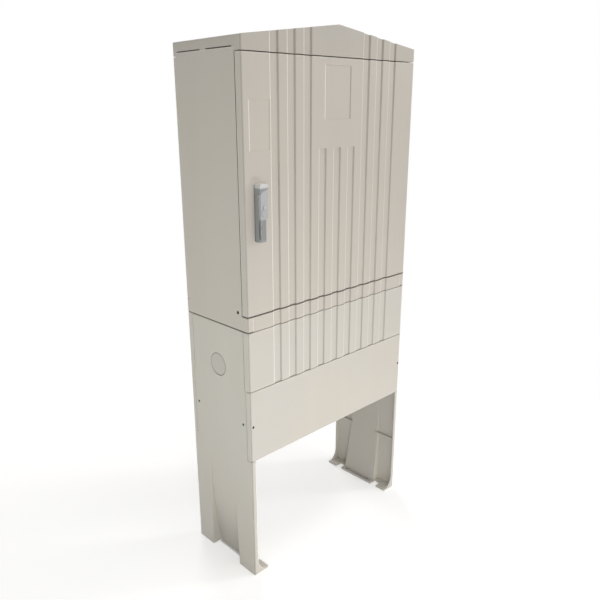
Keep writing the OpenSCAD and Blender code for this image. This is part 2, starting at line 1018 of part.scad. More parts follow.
// Gable of a given half width, rounded at the eaves and the ridge, running front to back
module gable(half, foot, eave, ridge) {
  translate([0, half_d + over, 0])
    rotate([90, 0, 0])
      linear_extrude(depth + 2 * over)
        polygon(concat(
          [[-half, foot], [half, foot]],
          rounded([half, foot], [half, eave], [0, ridge], edge_r),
          rounded([half, eave], [0, ridge], [-half, eave], 2 * edge_r),
          rounded([0, ridge], [-half, eave], [-half, foot], edge_r)
        ));
}

// Plan of the roof's walls from above: ribbed in front and behind
function roof_plan(grooves) =
  let (face = [for (p = tray_front(half_w, half_d, edge_r, grooves)) p - [0, half_d]])
  concat(face, [for (p = face) -p]);

function roof_inside(grooves) =
  let (face = [for (p = tray_back(half_w, half_d, wall, grooves)) p - [0, half_d]])
  concat(face, [for (p = face) -p]);

module roof_shell() {
  ridge = eave_z + gable_h;
  difference() {
    intersection() {
      gable(half_w, header_z, eave_z, ridge);
      linear_extrude(ridge)
        polygon(roof_plan(outer_grooves));
    }
    intersection() {
      gable(half_w - wall, header_z - over, eave_z - wall, ridge - wall);
      linear_extrude(ridge)
        polygon(roof_inside(outer_grooves));
    }
    // The side skirts end higher than the front and rear bands
    block([-half_w - over, jamb_y, header_z - over], [half_w + over, rear_y, skirt_z]);
    for (end = [-1, 1])
      translate([-half_w - over, vent_back + end * (vent_in + vent_w / 2) - vent_w / 2, skirt_z - over])
        cube([width + 2 * over, vent_w, vent_h + over]);
  }
}

// Foot of a band, with a flange that rests on the side walls' tabs and the stop behind the door
module header_flange(d) {
  flange_x = half_w - wall - pass_gap;
  stop_x = half_w - jamb_w - panel_gap;
  translate([0, -half_d, header_z])
    tray_end(half_w, d, wall, edge_r, outer_grooves);
  block([-flange_x, -half_d + d - wall, header_z], [flange_x, -half_d + d + roof_tab, header_z + wall]);
  block([-stop_x, -half_d + d, header_z - lip_h], [stop_x, -half_d + d + wall, header_z + wall]);
}

module roof() {
  color(shell_colour)
    seat()
      difference() {
        union() {
          roof_shell();
          header_flange(door_depth + door_gap);
          rotate(180)
            header_flange(rear_depth);
        }
        both_sides()
          for (y = [jamb_y + roof_bolt_in, rear_y - roof_bolt_in])
            hole_z(-roof_bolt_x, y, header_z, m6 + bolt_gap, wall);
        // Strike for the upper lock rod
        rod_hole(lock_x - rod_x, header_z);
      }
}

module roof_bolts() {
  color(screw_colour)
    seat()
      both_sides()
        for (y = [jamb_y + roof_bolt_in, rear_y - roof_bolt_in])
          translate([-roof_bolt_x, y, header_z - wall])
            mirror([0, 0, 1])
              bolt(m6, 2 * wall);
}

module plinth_bolts() {
  color(screw_colour)
    seat()
      both_sides()
        for (side = [-1, 1])
          translate([-plinth_bolt_x, side * plinth_bolt_y, plinth_h + wall])
            bolt(m8, 2 * wall);
}

// Mounting rails: angles on the rear flanges, with a row of holes for equipment
mount_rail_zs = [plinth_h + low_rail_up, eave_z - high_rail_down];

module mounting_rail(z) {
  rail_x = half_w - wall - panel_gap;
  back = rear_y - wall;
  difference() {
    union() {
      block([-rail_x, back - rail_t, z - mount_rail_h / 2], [rail_x, back, z + mount_rail_h / 2]);
      block(
        [-rail_x, back - mount_rail_depth, z + mount_rail_h / 2 - rail_t],
        [rail_x, back, z + mount_rail_h / 2]
      );
    }
    for (side = [-1, 1])
      hole_y(side * mount_rail_bolt_x, back - rail_t, z, m6 + bolt_gap, rail_t);
    for (i = [-rail_hole_side : rail_hole_side])
      hole_y(i * rail_hole_pitch, back - rail_t, z, rail_hole_d, rail_t);
  }
}

module upper_mounting_rail() {
  color(steel_colour)
    seat()
      mounting_rail(mount_rail_zs[1]);
}

module lower_mounting_rail() {
  color(steel_colour)
    seat()
      mounting_rail(mount_rail_zs[0]);
}

module mounting_rail_bolts() {
  color(screw_colour)
    seat()
      for (side = [-1, 1], z = mount_rail_zs)
        translate([side * mount_rail_bolt_x, rear_y - wall - rail_t, z])
          rotate([90, 0, 0])
            bolt(m6, rail_t + wall);
}

// Rubber seal on the jambs, the sill's stop and the roof's stop
module door_seal() {
  outer_x = half_w - seal_in;
  low = door_z + seal_in;
  high = door_z + door_h - seal_in;
  color(rubber_colour)
    seat()
      difference() {
        block([-outer_x, jamb_y - seal_t, low], [outer_x, jamb_y, high]);
        block(
          [-outer_x + seal_w, jamb_y - seal_t - over, low + seal_w],
          [outer_x - seal_w, jamb_y + over, high - seal_w]
        );
      }
}

// Hinges

bracket_y = jamb_y + wall + bracket_back - bracket_screw_in;

// Fixed half: a knuckle on an arm that reaches through the jamb from a plate on the side wall
module hinge_bracket(z) {
  wall_x = half_w - wall;
  arm_x = hinge_x - knuckle_d / 2;
  plate_y = jamb_y + wall;
  difference() {
    union() {
      translate([hinge_x, hinge_y, z - fixed_knuckle_h / 2])
        cylinder(h = fixed_knuckle_h, d = knuckle_d);
      block(
        [arm_x, hinge_y, z - fixed_knuckle_h / 2],
        [arm_x + hinge_arm_t, plate_y + bracket_back / 2, z + fixed_knuckle_h / 2]
      );
      block(
        [wall_x - bracket_t, plate_y, z - bracket_h / 2],
        [wall_x, plate_y + bracket_back, z + bracket_h / 2]
      );
    }
    hole_z(hinge_x, hinge_y, z - fixed_knuckle_h / 2, hinge_pin_d + 2 * running_fit, fixed_knuckle_h);
    for (side = [-1, 1])
      hole_x(wall_x - bracket_t, bracket_y, z + side * bracket_screw_up, m5 + bolt_gap, bracket_t);
  }
}

module upper_hinge_bracket() {
  color(steel_colour)
    seat()
      hinge_bracket(hinge_zs[1]);
}

module lower_hinge_bracket() {
  color(steel_colour)
    seat()
      hinge_bracket(hinge_zs[0]);
}

module hinge_bracket_screws() {
  color(screw_colour)
    seat()
      for (z = hinge_zs, side = [-1, 1])
        translate([half_w - wall - bracket_t, bracket_y, z + side * bracket_screw_up])
          rotate([0, -90, 0])
            screw(m5, bracket_t + wall / 2);
}

// Pin with a flat head that rests on the door's upper knuckle
module hinge_pin(z) {
  translate([hinge_x, hinge_y, z - leaf_h / 2])
    cylinder(h = leaf_h + pass_gap, d = hinge_pin_d);
  translate([hinge_x, hinge_y, z + leaf_h / 2 + pass_gap])
    cylinder(h = pin_head_t, d = pin_head_d);
}

module upper_hinge_pin() {
  color(steel_colour)
    seat()
      hinge_pin(hinge_zs[1]);
}

module lower_hinge_pin() {
  color(steel_colour)
    seat()
      hinge_pin(hinge_zs[0]);
}

// Door half: a flat leaf with two knuckles, on a moulded pad behind the door's skin
leaf_right = hinge_x - knuckle_d / 2 - leaf_clear;
leaf_left = leaf_right - leaf_w;
leaf_y = hinge_y - leaf_t / 2;

module hinge_leaf(z) {
  difference() {
    union() {
      block([leaf_left, leaf_y, z - leaf_h / 2], [leaf_right, leaf_y + leaf_t, z + leaf_h / 2]);
      for (low = [z - leaf_h / 2, z + fixed_knuckle_h / 2 + knuckle_gap]) {
        translate([hinge_x, hinge_y, low])
          cylinder(h = door_knuckle_h, d = knuckle_d);
        block([leaf_left, leaf_y, low], [hinge_x, leaf_y + leaf_t, low + door_knuckle_h]);
      }
    }
    hole_z(hinge_x, hinge_y, z - leaf_h / 2, hinge_pin_d + 2 * running_fit, leaf_h);
    for (side = [-1, 1])
      hole_y(leaf_left + leaf_screw_in, leaf_y, z + side * leaf_screw_up, m5 + bolt_gap, leaf_t);
  }
}

module upper_hinge_leaf() {
  color(steel_colour)
    seat()
      hinge_leaf(hinge_zs[1]);
}

module lower_hinge_leaf() {
  color(steel_colour)
    seat()
      hinge_leaf(hinge_zs[0]);
}

module hinge_leaf_screws() {
  color(screw_colour)
    seat()
      for (z = hinge_zs, side = [-1, 1])
        translate([leaf_left + leaf_screw_in, leaf_y + leaf_t, z + side * leaf_screw_up])
          rotate([-90, 0, 0])
            screw(m5, leaf_t + insert_depth);
}

// Door

// Passage for a lock rod through a level rim or flange
module rod_hole(x, z) {
  size = [rod_w + 2 * rod_hole_gap, rod_t + 2 * rod_hole_gap, door_rim + 2 * over];
  translate([x - size.x / 2, -half_d + rod_y - size.y / 2, z - over])
    cube(size);
}

module door_blank() {
  translate([0, -half_d, door_z]) {
    tray_skin(half_w, door_depth, door_rim, edge_r, short_groove_h, all_grooves);
    tray_end(half_w, door_depth, door_rim, edge_r, all_grooves);
    translate([0, 0, short_groove_h])
      tray_skin(half_w, door_depth, door_rim, edge_r, door_h - short_groove_h, outer_grooves);
    translate([0, 0, door_h - door_rim])
      tray_end(half_w, door_depth, door_rim, edge_r, outer_grooves);
    // Upper ends of the short grooves
    for (g = short_grooves)
      translate([g * groove_pitch - groove_w / 2 - wall, 0, short_groove_h])
        cube([groove_w + 2 * wall, groove_depth + wall, wall]);
    // Thicker skin behind the label recess
    translate([-label_w / 2 - wall, 0, door_h - label_drop - label_h - wall])
      cube([label_w + 2 * wall, wall + label_depth, label_h + 2 * wall]);
  }
  // Pads for the hinge leaves
  for (z = hinge_zs)
    block(
      [leaf_left, -half_d + wall / 2, z - leaf_h / 2],
      [leaf_right, leaf_y, z + leaf_h / 2]
    );
  // Pads for the rod guides
  for (at = guide_places)
    block(
      [at.x - guide_w / 2, -half_d + wall / 2, at.y - guide_h / 2],
      [at.x + guide_w / 2, -half_d + wall + guide_pad, at.y + guide_h / 2]
    );
}

// Shallow recess with sloped edges in a face at y = 0, its lower left corner at the origin
module face_recess(w, h, d) {
  flare = recess_slope * over;
  run = recess_slope * d;
  intersection() {
    translate([0, 0, -flare])
      linear_extrude(h + 2 * flare)
        polygon([[-flare, -over], [w + flare, -over], [w - run, d], [run, d]]);
    translate([-flare, 0, 0])
      rotate([90, 0, 90])
        linear_extrude(w + 2 * flare)
          polygon([[-over, -flare], [d, run], [d, h - run], [-over, h + flare]]);
  }
}

// Rounds the rear corner of the rim on the hinge side to the radius on which it swings
module hinge_relief() {
  translate([hinge_x, hinge_y, door_z - over])
    linear_extrude(door_h + 2 * over)
      difference() {
        square([half_w, hinge_back + over]);
        circle(hinge_back, $fn = 96);
      }
}

module door() {
  notch_x = half_w - door_rim - over;
  color(shell_colour)
    seat()
      difference() {
        door_blank();
        translate([-label_w / 2, -half_d, door_z + door_h - label_drop - label_h])
          face_recess(label_w, label_h, label_depth);
        translate([-half_w + note_in, -half_d, door_z + door_h - note_drop - note_h])
          face_recess(note_w, note_h, note_depth);
        hinge_relief();
        for (z = hinge_zs) {
          block(
            [notch_x, -half_d + edge_r, z - hinge_notch_h / 2],
            [half_w + over, -half_d + door_depth + over, z + hinge_notch_h / 2]
          );
          for (side = [-1, 1])
            hole_y(
              leaf_left + leaf_screw_in,
              leaf_y - insert_depth + over,
              z + side * leaf_screw_up,
              m5 + bolt_gap,
              insert_depth
            );
        }
        rod_hole(lock_x - rod_x, door_z + door_h - door_rim);
        rod_hole(lock_x + rod_x, door_z);
        hole_y(lock_x, -half_d, lock_z, spindle_d + 2 * bolt_gap, wall);
        for (side = [-1, 1])
          hole_y(lock_x, -half_d, lock_z + side * lock_screw_up, m5 + bolt_gap, wall);
        for (at = guide_places, side = [-1, 1])
          hole_y(
            at.x + side * guide_screw_out,
            -half_d + wall + guide_pad - guide_insert + over,
            at.y,
            m4 + bolt_gap,
            guide_insert
          );
      }
}

// Handle

// Front view of the lever below the lock axis: a broad block with a narrower grip below it
lever_points = [
  [-lever_w / 2, 0],
  [-lever_w / 2, -lever_len],
  [grip_w - lever_w / 2, -lever_len],
  [grip_w - lever_w / 2, -block_len - lever_edge_r],
  [lever_w / 2, -block_len],
  [lever_w / 2, 0]
];

module handle_housing() {
  color(handle_colour)
    seat()
      difference() {
        union() {
          on_face(lock_x, 0, housing_mid)
            linear_extrude(housing_t)
              rounded_rect(housing_w, housing_h, housing_r);
          // Head above the lever, hollowed to the circle on which the lever turns
          on_face(lock_x, 0, lock_z)
            linear_extrude(lever_front)
              difference() {
                translate([0, housing_mid - lock_z])
                  rounded_rect(housing_w, housing_h, housing_r);
                circle(sweep_r, $fn = 96);
                translate([-housing_w, -housing_h])
                  square([housing_w, housing_h + lever_t / 2]);
                translate([0, -housing_h])
                  square([housing_w, housing_h + sweep_r]);
              }
        }
        on_face(lock_x, -over, lock_z)
          cylinder(h = lever_front + 2 * over, d = spindle_d + 2 * running_fit);
        for (side = [-1, 1])
          on_face(lock_x, -over, lock_z + side * lock_screw_up)
            cylinder(h = lock_screw_depth + over, d = m5 + bolt_gap);
      }
}

// Shaft with a tongue for the lever in front and a journal in the lock case behind
module spindle() {
  color(steel_colour)
    seat()
      difference() {
        union() {
          on_face(lock_x, -case_depth, lock_z)
            cylinder(h = case_depth, d = journal_d);
          on_face(lock_x, -pinion_y - pinion_t, lock_z)
            cylinder(h = pinion_y + pinion_t + housing_t, d = spindle_d);
          translate([lock_x - tongue_w / 2, -half_d - lever_pivot, lock_z - tongue_side])
            cube([tongue_w, lever_pivot - housing_t + over, 2 * tongue_side]);
          translate([lock_x - tongue_w / 2, -half_d - lever_pivot, lock_z])
            rotate([0, 90, 0])
              cylinder(h = tongue_w, r = tongue_side);
        }
        hole_x(
          lock_x - tongue_w / 2,
          -half_d - lever_pivot,
          lock_z,
          lever_pin_d + 2 * running_fit,
          tongue_w
        );
      }
}

// Side view of the lever about its pin. Its back is cut away above the pin, so that the end stays
// clear of the housing when the lever is lifted, and tapers below the block towards the grip's end.
module lever_side() {
  front = lever_pivot_in - lever_t;
  end_rise = lever_w / 2;
  end_back = (lever_pivot_in + lever_gap / 2 - end_rise * sin(lift_angle)) / cos(lift_angle);
  translate([lock_x - lever_w, -half_d - lever_pivot, lock_z])
    rotate([90, 0, 90])
      linear_extrude(2 * lever_w)
        polygon([
          [front, end_rise],
          [front, -lever_len],
          [front + grip_end_t, -lever_len],
          [lever_pivot_in, -block_len],
          [lever_pivot_in, 0],
          [end_back, end_rise]
        ]);
}

module lever() {
  color(handle_colour)
    seat()
      difference() {
        intersection() {
          on_face(lock_x, lever_back, lock_z)
            linear_extrude(lever_t) {
              polygon(rounded_outline(lever_points, lever_edge_r));
              circle(d = lever_w, $fn = 96);
              translate([-lever_w / 2, -lever_w])
                square([lever_w, lever_w]);
            }
          lever_side();
        }
        // Slot in the back for the spindle's tongue, open at the top
        translate([
          lock_x - tongue_w / 2 - pass_gap,
          -half_d - lever_front + slot_skin,
          lock_z - lever_slot_down
        ])
          cube([tongue_w + 2 * pass_gap, lever_t, lever_slot_down + lever_w]);
        hole_x(lock_x - lever_w / 2, -half_d - lever_pivot, lock_z, lever_pin_d, lever_w);
        on_face(lock_x, lever_back - over, lock_z - cylinder_down)
          cylinder(h = lever_t + 2 * over, d = cylinder_d);
        on_face(lock_x, lever_front - rivet_depth, lock_z - cylinder_down + cap_rise)
          cylinder(h = rivet_depth + over, d = rivet_d);
      }
}

module lever_pin() {
  color(steel_colour)
    seat()
      translate([lock_x - lever_w / 2, -half_d - lever_pivot, lock_z])
        rotate([0, 90, 0])
          cylinder(h = lever_w, d = lever_pin_d);
}

module lock_cylinder() {
  color(steel_colour)
    seat()
      on_face(lock_x, lever_back, lock_z - cylinder_down)
        difference() {
          cylinder(h = lever_t, d = cylinder_d);
          translate([-key_slot_w / 2, -key_slot_h / 2, lever_t - key_slot_depth])
            cube([key_slot_w, key_slot_h, key_slot_depth + over]);
        }
}

// Rivet on which the dust cap swings
module cap_rivet() {
  color(steel_colour)
    seat()
      on_face(lock_x, lever_front - rivet_depth, lock_z - cylinder_down + cap_rise) {
        cylinder(h = handle_out - lever_front + rivet_depth, d = rivet_d);
        translate([0, 0, handle_out - lever_front + rivet_depth - rivet_head_t])
          cylinder(h = rivet_head_t, d = rivet_head_d);
      }
}

module dust_cap() {
  color(steel_colour)
    seat()
      on_face(lock_x, lever_front + pass_gap, lock_z - cylinder_down)
        difference() {
          linear_extrude(cap_t) {
            circle(d = cap_d);
            translate([-cap_ear_w / 2, 0])
              square([cap_ear_w, cap_rise]);
            translate([0, cap_rise])
              circle(d = cap_ear_w);
          }
          hole_z(0, cap_rise, 0, rivet_d + 2 * running_fit, cap_t);
        }
}

// Lock mechanism

// Involute flank at a given radius: how far its point lies round from where the flank starts
function involute(r, base) = let (t = sqrt(max(r * r / (base * base) - 1, 0))) t * 180 / PI - atan(t);

function polar(r, a) = r * [cos(a), sin(a)];

// One tooth about direction a, from root to tip and back
function tooth_points(a) =
  let (
    base = pitch_r * cos(pressure_angle),
    root = pitch_r - dedendum,
    tip = pitch_r + addendum - pass_gap / 2,
    half_tooth = (rack_pitch / 2 - backlash) / 2 / pitch_r * 180 / PI + involute(pitch_r, base),
    radii = [for (i = [0 : tooth_steps]) base + (tip - base) * i / tooth_steps]
  )
  concat(
    [polar(root, a - half_tooth)],
    [for (r = radii) polar(r, a - half_tooth + involute(r, base))],
    [for (i = [tooth_steps : -1 : 0]) polar(radii[i], a + half_tooth - involute(radii[i], base))],
    [polar(root, a + half_tooth)]
  );

module pinion() {
  color(steel_colour)
    seat()
      on_face(lock_x, -pinion_y - pinion_t, lock_z)
        difference() {
          linear_extrude(pinion_t)
            polygon([for (i = [0 : gear_teeth - 1]) each tooth_points(360 * i / gear_teeth)]);
          hole_z(0, 0, 0, spindle_d, pinion_t);
        }
}

// Rod along +Z with rack teeth on its +X side, the pinion's axis level with z = 0
module lock_rod(length) {
  depth_of_cut = addendum + dedendum;
  gaps = ceil((stroke + rack_end) / rack_pitch);
  slope = tan(pressure_angle);
  mouth = rack_pitch / 2 + backlash + 2 * addendum * slope;
  bottom = rack_pitch / 2 + backlash - 2 * dedendum * slope;
  translate([-rack_tip - rod_w, rod_t / 2, 0])
    rotate([90, 0, 0])
      linear_extrude(rod_t)
        difference() {
          translate([0, -rack_end])
            square([rod_w, length + rack_end]);
          for (i = [-2 : gaps])
            translate([rod_w, i * rack_pitch])
              polygon([
                [over, -mouth / 2 - over * slope],
                [-depth_of_cut, -bottom / 2],
                [-depth_of_cut, bottom / 2],
                [over, mouth / 2 + over * slope]
              ]);
        }
}

module upper_lock_rod() {
  color(steel_colour)
    seat()
      translate([lock_x, -half_d + rod_y, lock_z])
        lock_rod(door_z + door_h - rod_tip_gap - lock_z);
}

module lower_lock_rod() {
  color(steel_colour)
    seat()
      translate([lock_x, -half_d + rod_y, lock_z])
        rotate([0, 180, 0])
          lock_rod(lock_z - door_z - rod_tip_gap);
}

// Case over the rack and pinion, open towards the door's skin
module lock_case() {
  rear = -half_d + case_depth;
  front = -half_d + wall;
  passage = [rod_w + 2 * pass_gap, rod_t + 2 * pass_gap, case_wall + 2 * over];
  color(steel_colour)
    seat()
      difference() {
        union() {
          difference() {
            block(
              [lock_x - case_half_w, front, lock_z - case_half_h],
              [lock_x + case_half_w, rear, lock_z + case_half_h]
            );
            block(
              [lock_x - case_half_w + case_wall, front - over, lock_z - case_half_h + case_wall],
              [lock_x + case_half_w - case_wall, rear - case_wall, lock_z + case_half_h - case_wall]
            );
          }
          for (side = [-1, 1])
            translate([lock_x, front, lock_z + side * lock_screw_up])
              rotate([-90, 0, 0])
                cylinder(h = rear - front - case_wall / 2, d = pillar_d);
        }
        hole_y(lock_x, rear - case_wall, lock_z, journal_d + 2 * running_fit, case_wall);
        for (side = [-1, 1]) {
          hole_y(lock_x, front, lock_z + side * lock_screw_up, m5 + bolt_gap, rear - front);
          translate([
            lock_x + side * rod_x - passage.x / 2,
            -half_d + rod_y - passage.y / 2,
            lock_z - side * (case_half_h - case_wall / 2) - passage.z / 2
          ])
            cube(passage);
        }
      }
}

module lock_screws() {
  color(screw_colour)
    seat()
      for (side = [-1, 1])
        translate([lock_x, -half_d + case_depth, lock_z + side * lock_screw_up])
          rotate([-90, 0, 0])
            screw(m5, case_depth + lock_screw_depth - over);
}

// Guides near the rods' ends, as [x, z]
guide_places = [
  [lock_x + rod_x, door_z + guide_in],
  [lock_x - rod_x, door_z + door_h - guide_in]
];

module rod_guide(at) {
  front = -half_d + wall + guide_pad;
  opening = [rod_w + 2 * pass_gap, rod_t + 2 * pass_gap, guide_h + 2 * over];
  body_w = rod_w + 2 * (pass_gap + guide_wall);
  rear = -half_d + rod_y + rod_t / 2 + pass_gap + guide_wall;
  difference() {
    union() {
      block(
        [at.x - guide_w / 2, front, at.y - guide_h / 2],
        [at.x + guide_w / 2, front + guide_wall, at.y + guide_h / 2]
      );
      block([at.x - body_w / 2, front, at.y - guide_h / 2], [at.x + body_w / 2, rear, at.y + guide_h / 2]);
    }
    translate([at.x - opening.x / 2, -half_d + rod_y - opening.y / 2, at.y - opening.z / 2])
      cube(opening);
    for (side = [-1, 1])
      hole_y(at.x + side * guide_screw_out, front, at.y, m4 + bolt_gap, guide_wall);
  }
}

module upper_rod_guide() {
  color(rubber_colour)
    seat()
      rod_guide(guide_places[1]);
}

module lower_rod_guide() {
  color(rubber_colour)
    seat()
      rod_guide(guide_places[0]);
}

module rod_guide_screws() {
  color(screw_colour)
    seat()
      for (at = guide_places, side = [-1, 1])
        translate([at.x + side * guide_screw_out, -half_d + wall + guide_pad + guide_wall, at.y])
          rotate([-90, 0, 0])
            screw(m4, guide_wall + guide_insert - over);
}

left_base_side();
right_base_side();
front_upper_cover();
rear_upper_cover();
front_lower_cover();
rear_lower_cover();
left_blanking_plug();
right_blanking_plug();
front_cable_rail();
rear_cable_rail();
cable_rail_screws();
cover_screws();
left_side_wall();
right_side_wall();
rear_wall();
front_sill();
rear_sill();
roof();
sill_screws();
plinth_bolts();
roof_bolts();
rear_wall_screws();
upper_mounting_rail();
lower_mounting_rail();
mounting_rail_bolts();
door_seal();
upper_hinge_bracket();
lower_hinge_bracket();
upper_hinge_pin();
lower_hinge_pin();
hinge_bracket_screws();
door();
upper_hinge_leaf();
lower_hinge_leaf();
hinge_leaf_screws();
handle_housing();
lock_case();
lock_screws();
upper_rod_guide();
lower_rod_guide();
rod_guide_screws();
spindle();
pinion();
lever();
lever_pin();
lock_cylinder();
cap_rivet();
dust_cap();
upper_lock_rod();
lower_lock_rod();
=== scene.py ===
"""Finishes, seal and fasteners of a floor-standing moulded enclosure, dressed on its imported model."""

import math

import bmesh
import bpy
from bpy.props import FloatProperty, FloatVectorProperty, PointerProperty
from mathutils import Matrix, Vector


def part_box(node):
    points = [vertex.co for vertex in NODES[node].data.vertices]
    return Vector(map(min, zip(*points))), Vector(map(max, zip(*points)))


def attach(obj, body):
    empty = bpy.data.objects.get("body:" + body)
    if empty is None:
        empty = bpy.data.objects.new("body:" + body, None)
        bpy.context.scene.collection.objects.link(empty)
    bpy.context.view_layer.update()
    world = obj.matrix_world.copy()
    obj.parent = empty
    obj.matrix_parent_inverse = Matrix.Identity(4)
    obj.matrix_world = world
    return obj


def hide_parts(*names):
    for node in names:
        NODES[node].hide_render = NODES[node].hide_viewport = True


bl_info = {
    "name": "Floor-standing enclosure",
    "version": (1, 0, 0),
    "blender": (4, 5, 0),
    "location": "View3D > Sidebar > Enclosure",
    "description": "Dresses a moulded outdoor enclosure with its finishes, seal and fasteners",
    "category": "Object",
}

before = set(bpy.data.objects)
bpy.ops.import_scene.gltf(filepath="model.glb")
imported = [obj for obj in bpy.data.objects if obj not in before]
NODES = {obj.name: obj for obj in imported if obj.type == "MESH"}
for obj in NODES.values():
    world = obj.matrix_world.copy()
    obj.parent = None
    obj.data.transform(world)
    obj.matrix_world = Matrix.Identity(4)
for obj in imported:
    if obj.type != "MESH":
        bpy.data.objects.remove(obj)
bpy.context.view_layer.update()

CABINET = ("left_side_wall", "right_side_wall", "rear_wall", "front_sill", "rear_sill", "roof", "door")
PLINTH = (
    "left_base_side", "right_base_side", "front_upper_cover", "rear_upper_cover",
    "front_lower_cover", "rear_lower_cover", "left_blanking_plug", "right_blanking_plug",
)
RAILS = ("front_cable_rail", "rear_cable_rail", "upper_mounting_rail", "lower_mounting_rail")
LOCK = (
    "upper_hinge_bracket", "lower_hinge_bracket", "upper_hinge_pin", "lower_hinge_pin",
    "upper_hinge_leaf", "lower_hinge_leaf", "lock_case", "spindle", "pinion",
    "upper_lock_rod", "lower_lock_rod",
)
HANDLE = ("handle_housing", "lever", "dust_cap")
HANDLE_METAL = ("lever_pin", "lock_cylinder", "cap_rivet")
GUIDES = ("upper_rod_guide", "lower_rod_guide")

# All sizes and places are in metres.

# Points nearer than this are one point. Faces that meet flatter than the first angle are one face,
# and edges sharper than the second are softened.
JOINED = 0.00001
FLAT_ANGLE = math.radians(0.3)
SHARP_ANGLE = math.radians(35)

# Screws and bolts by node: outward axis of the heads, shank, head height, nut height and the body that
# carries them. A nut height of zero means that the screw ends in an insert.
FASTENERS = {
    "cover_screws": ("out_y", 0.005, 0.0022, 0.0, "enclosure"),
    "cable_rail_screws": ("out_x", 0.005, 0.0022, 0.004, "enclosure"),
    "sill_screws": ("out_x", 0.006, 0.0022, 0.0048, "enclosure"),
    "plinth_bolts": ("up", 0.008, 0.0048, 0.0064, "enclosure"),
    "roof_bolts": ("down", 0.006, 0.0036, 0.0048, "enclosure"),
    "rear_wall_screws": ("front", 0.005, 0.003, 0.0, "enclosure"),
    "mounting_rail_bolts": ("front", 0.006, 0.0036, 0.0048, "enclosure"),
    "hinge_bracket_screws": ("left", 0.005, 0.003, 0.0, "enclosure"),
    "hinge_leaf_screws": ("rear", 0.005, 0.003, 0.0, "door"),
    "lock_screws": ("rear", 0.005, 0.003, 0.0, "door"),
    "rod_guide_screws": ("rear", 0.004, 0.0024, 0.0, "door"),
}
DARK_FASTENERS = ("cover_screws", "cable_rail_screws", "sill_screws")
OUTWARD = {
    "up": Vector((0, 0, 1)), "down": Vector((0, 0, -1)), "front": Vector((0, -1, 0)),
    "rear": Vector((0, 1, 0)), "left": Vector((-1, 0, 0)),
}
SCREW_STEPS = 36
NUT_SIDES = 6
DRIVE_LOBES = 6
DRIVE_LOBE_SHARE = 0.14

# Width of the door's seal, and its section from the outer edge: across the strip and out from its back,
# as shares of its width and thickness
SEAL_WIDTH = 0.005
SEAL_SHARES = (
    (0.0, 0.0), (0.0, 0.3), (0.16, 0.38), (0.2, 0.7), (0.34, 0.94), (0.5, 1.0),
    (0.66, 0.94), (0.8, 0.7), (0.84, 0.38), (1.0, 0.3), (1.0, 0.0),
)

# Pieces drawn darker, as a share of the compound's colour, and the plinth's colours, lighter than the
# cabinet's as painted light for the brighter light near the floor
TONES = {"roof": 0.9, "left_blanking_plug": 0.9, "right_blanking_plug": 0.9}
PLINTH_COLOUR = (0.62, 0.585, 0.52)
PLINTH_CLOUDS = (0.605, 0.58, 0.53)

# How far edges are rubbed, and the width of the rounded lips along the grooves, which get a painted
# highlight where they face the right
RUBBED_REACH = 0.006
HANDLE_RUBBED_REACH = 0.0022
LIP_REACH = 0.0042
LIP_RAYS = 8

# Edges along the open joints of the cabinet, and how far the painted shade there reaches
SHADED_EDGES = {
    "door": "lower", "front_sill": "upper", "left_side_wall": "lower", "right_side_wall": "lower",
    "left_base_side": "upper", "right_base_side": "upper",
}
JOINT_SHADE_REACH = 0.0028

# Share of the colour that painted shade takes away on the grooves' flanks that face the left, in the legs'
# hollows and in the open joints, and that the darker ring takes away on the plugs' discs
FLANK_SHADE = 0.3
HOLLOW_SHADE = 0.2
RING_DARKENING = 0.35
JOINT_SHADE = 0.78

# Hollow of a leg: half its width, how far its sides lean, and the depths between which painted shade sets in
HOLLOW_HALF_WIDTH = 0.076
HOLLOW_SIDE = 0.006
HOLLOW_SHALLOW, HOLLOW_DEEP = 0.002, 0.03

# How far a plug's hidden flange reaches past its disc, and the width of the darker ring on the disc
PLUG_FLANGE = 0.0068
RING_WIDTH = 0.0035

# Height of the grip at the lever's free end, height of the housing's upper end that gets painted light from
# above, and the distances from the door between which the painted contact shadow on the housing's foot fades
GRIP_HEIGHT = 0.064
PAINTED_LIGHT_END = 0.016
FOOT_UNSHADED, FOOT_SHADED = 0.005, 0.0015

# Floor: radius, sides, and the distances between which it fades into the white surroundings
FLOOR_RADIUS = 6.0
FLOOR_SIDES = 96
FLOOR_FADE = (0.9, 2.4)

# Painted shadow on the floor below a slot in a foot plate, where its glow is left out: distances from the
# plate's inner edge between which it sets in and fades, and from the plate's middle
SLOT_START = (0.002, 0.006)
SLOT_END = (0.03, 0.04)
SLOT_HALF_LENGTH = (0.07, 0.08)

# Lamps by the name of their power: place, target, size and colour
WARM = (1.0, 0.985, 0.975)
COOL = (0.95, 1.0, 0.965)
LAMPS = {
    "right": ((6.0, -4.0, 3.0), (0.0, -0.16, 1.0), (1.2, 1.2), WARM),
    "top": ((0.3, -0.7, 4.2), (0.1, -0.2, 0.9), (1.2, 1.2), WARM),
    "front": ((-2.6, -3.2, 1.0), (-0.2, -0.1, 0.8), (1.6, 1.6), WARM),
    "low": ((0.15, -1.7, 0.24), (0.0, -0.1, 0.7), (1.3, 0.44), WARM),
    "left": ((-1.9, -0.2, 0.03), (-1.7, -0.2, 1.0), (2.0, 2.6), COOL),
    "rear": ((2.4, 4.6, 1.9), (0.0, 0.1, 0.9), (2.0, 2.0), WARM),
}

# Camera: place, turn round the part, rise and roll in degrees, shift as a share of the frame, sensor in
# millimetres and farthest distance seen
CAMERA_PLACE = (-1.53284, -1.5249, 1.55407)
CAMERA_TURN, CAMERA_RISE, CAMERA_ROLL = -43.4735, 17.71, -0.4352
CAMERA_SHIFT = (0.01983, 0.0125)
CAMERA_SENSOR = 36.0
CAMERA_REACH = 100.0

WHITE = (1.0, 1.0, 1.0, 1.0)


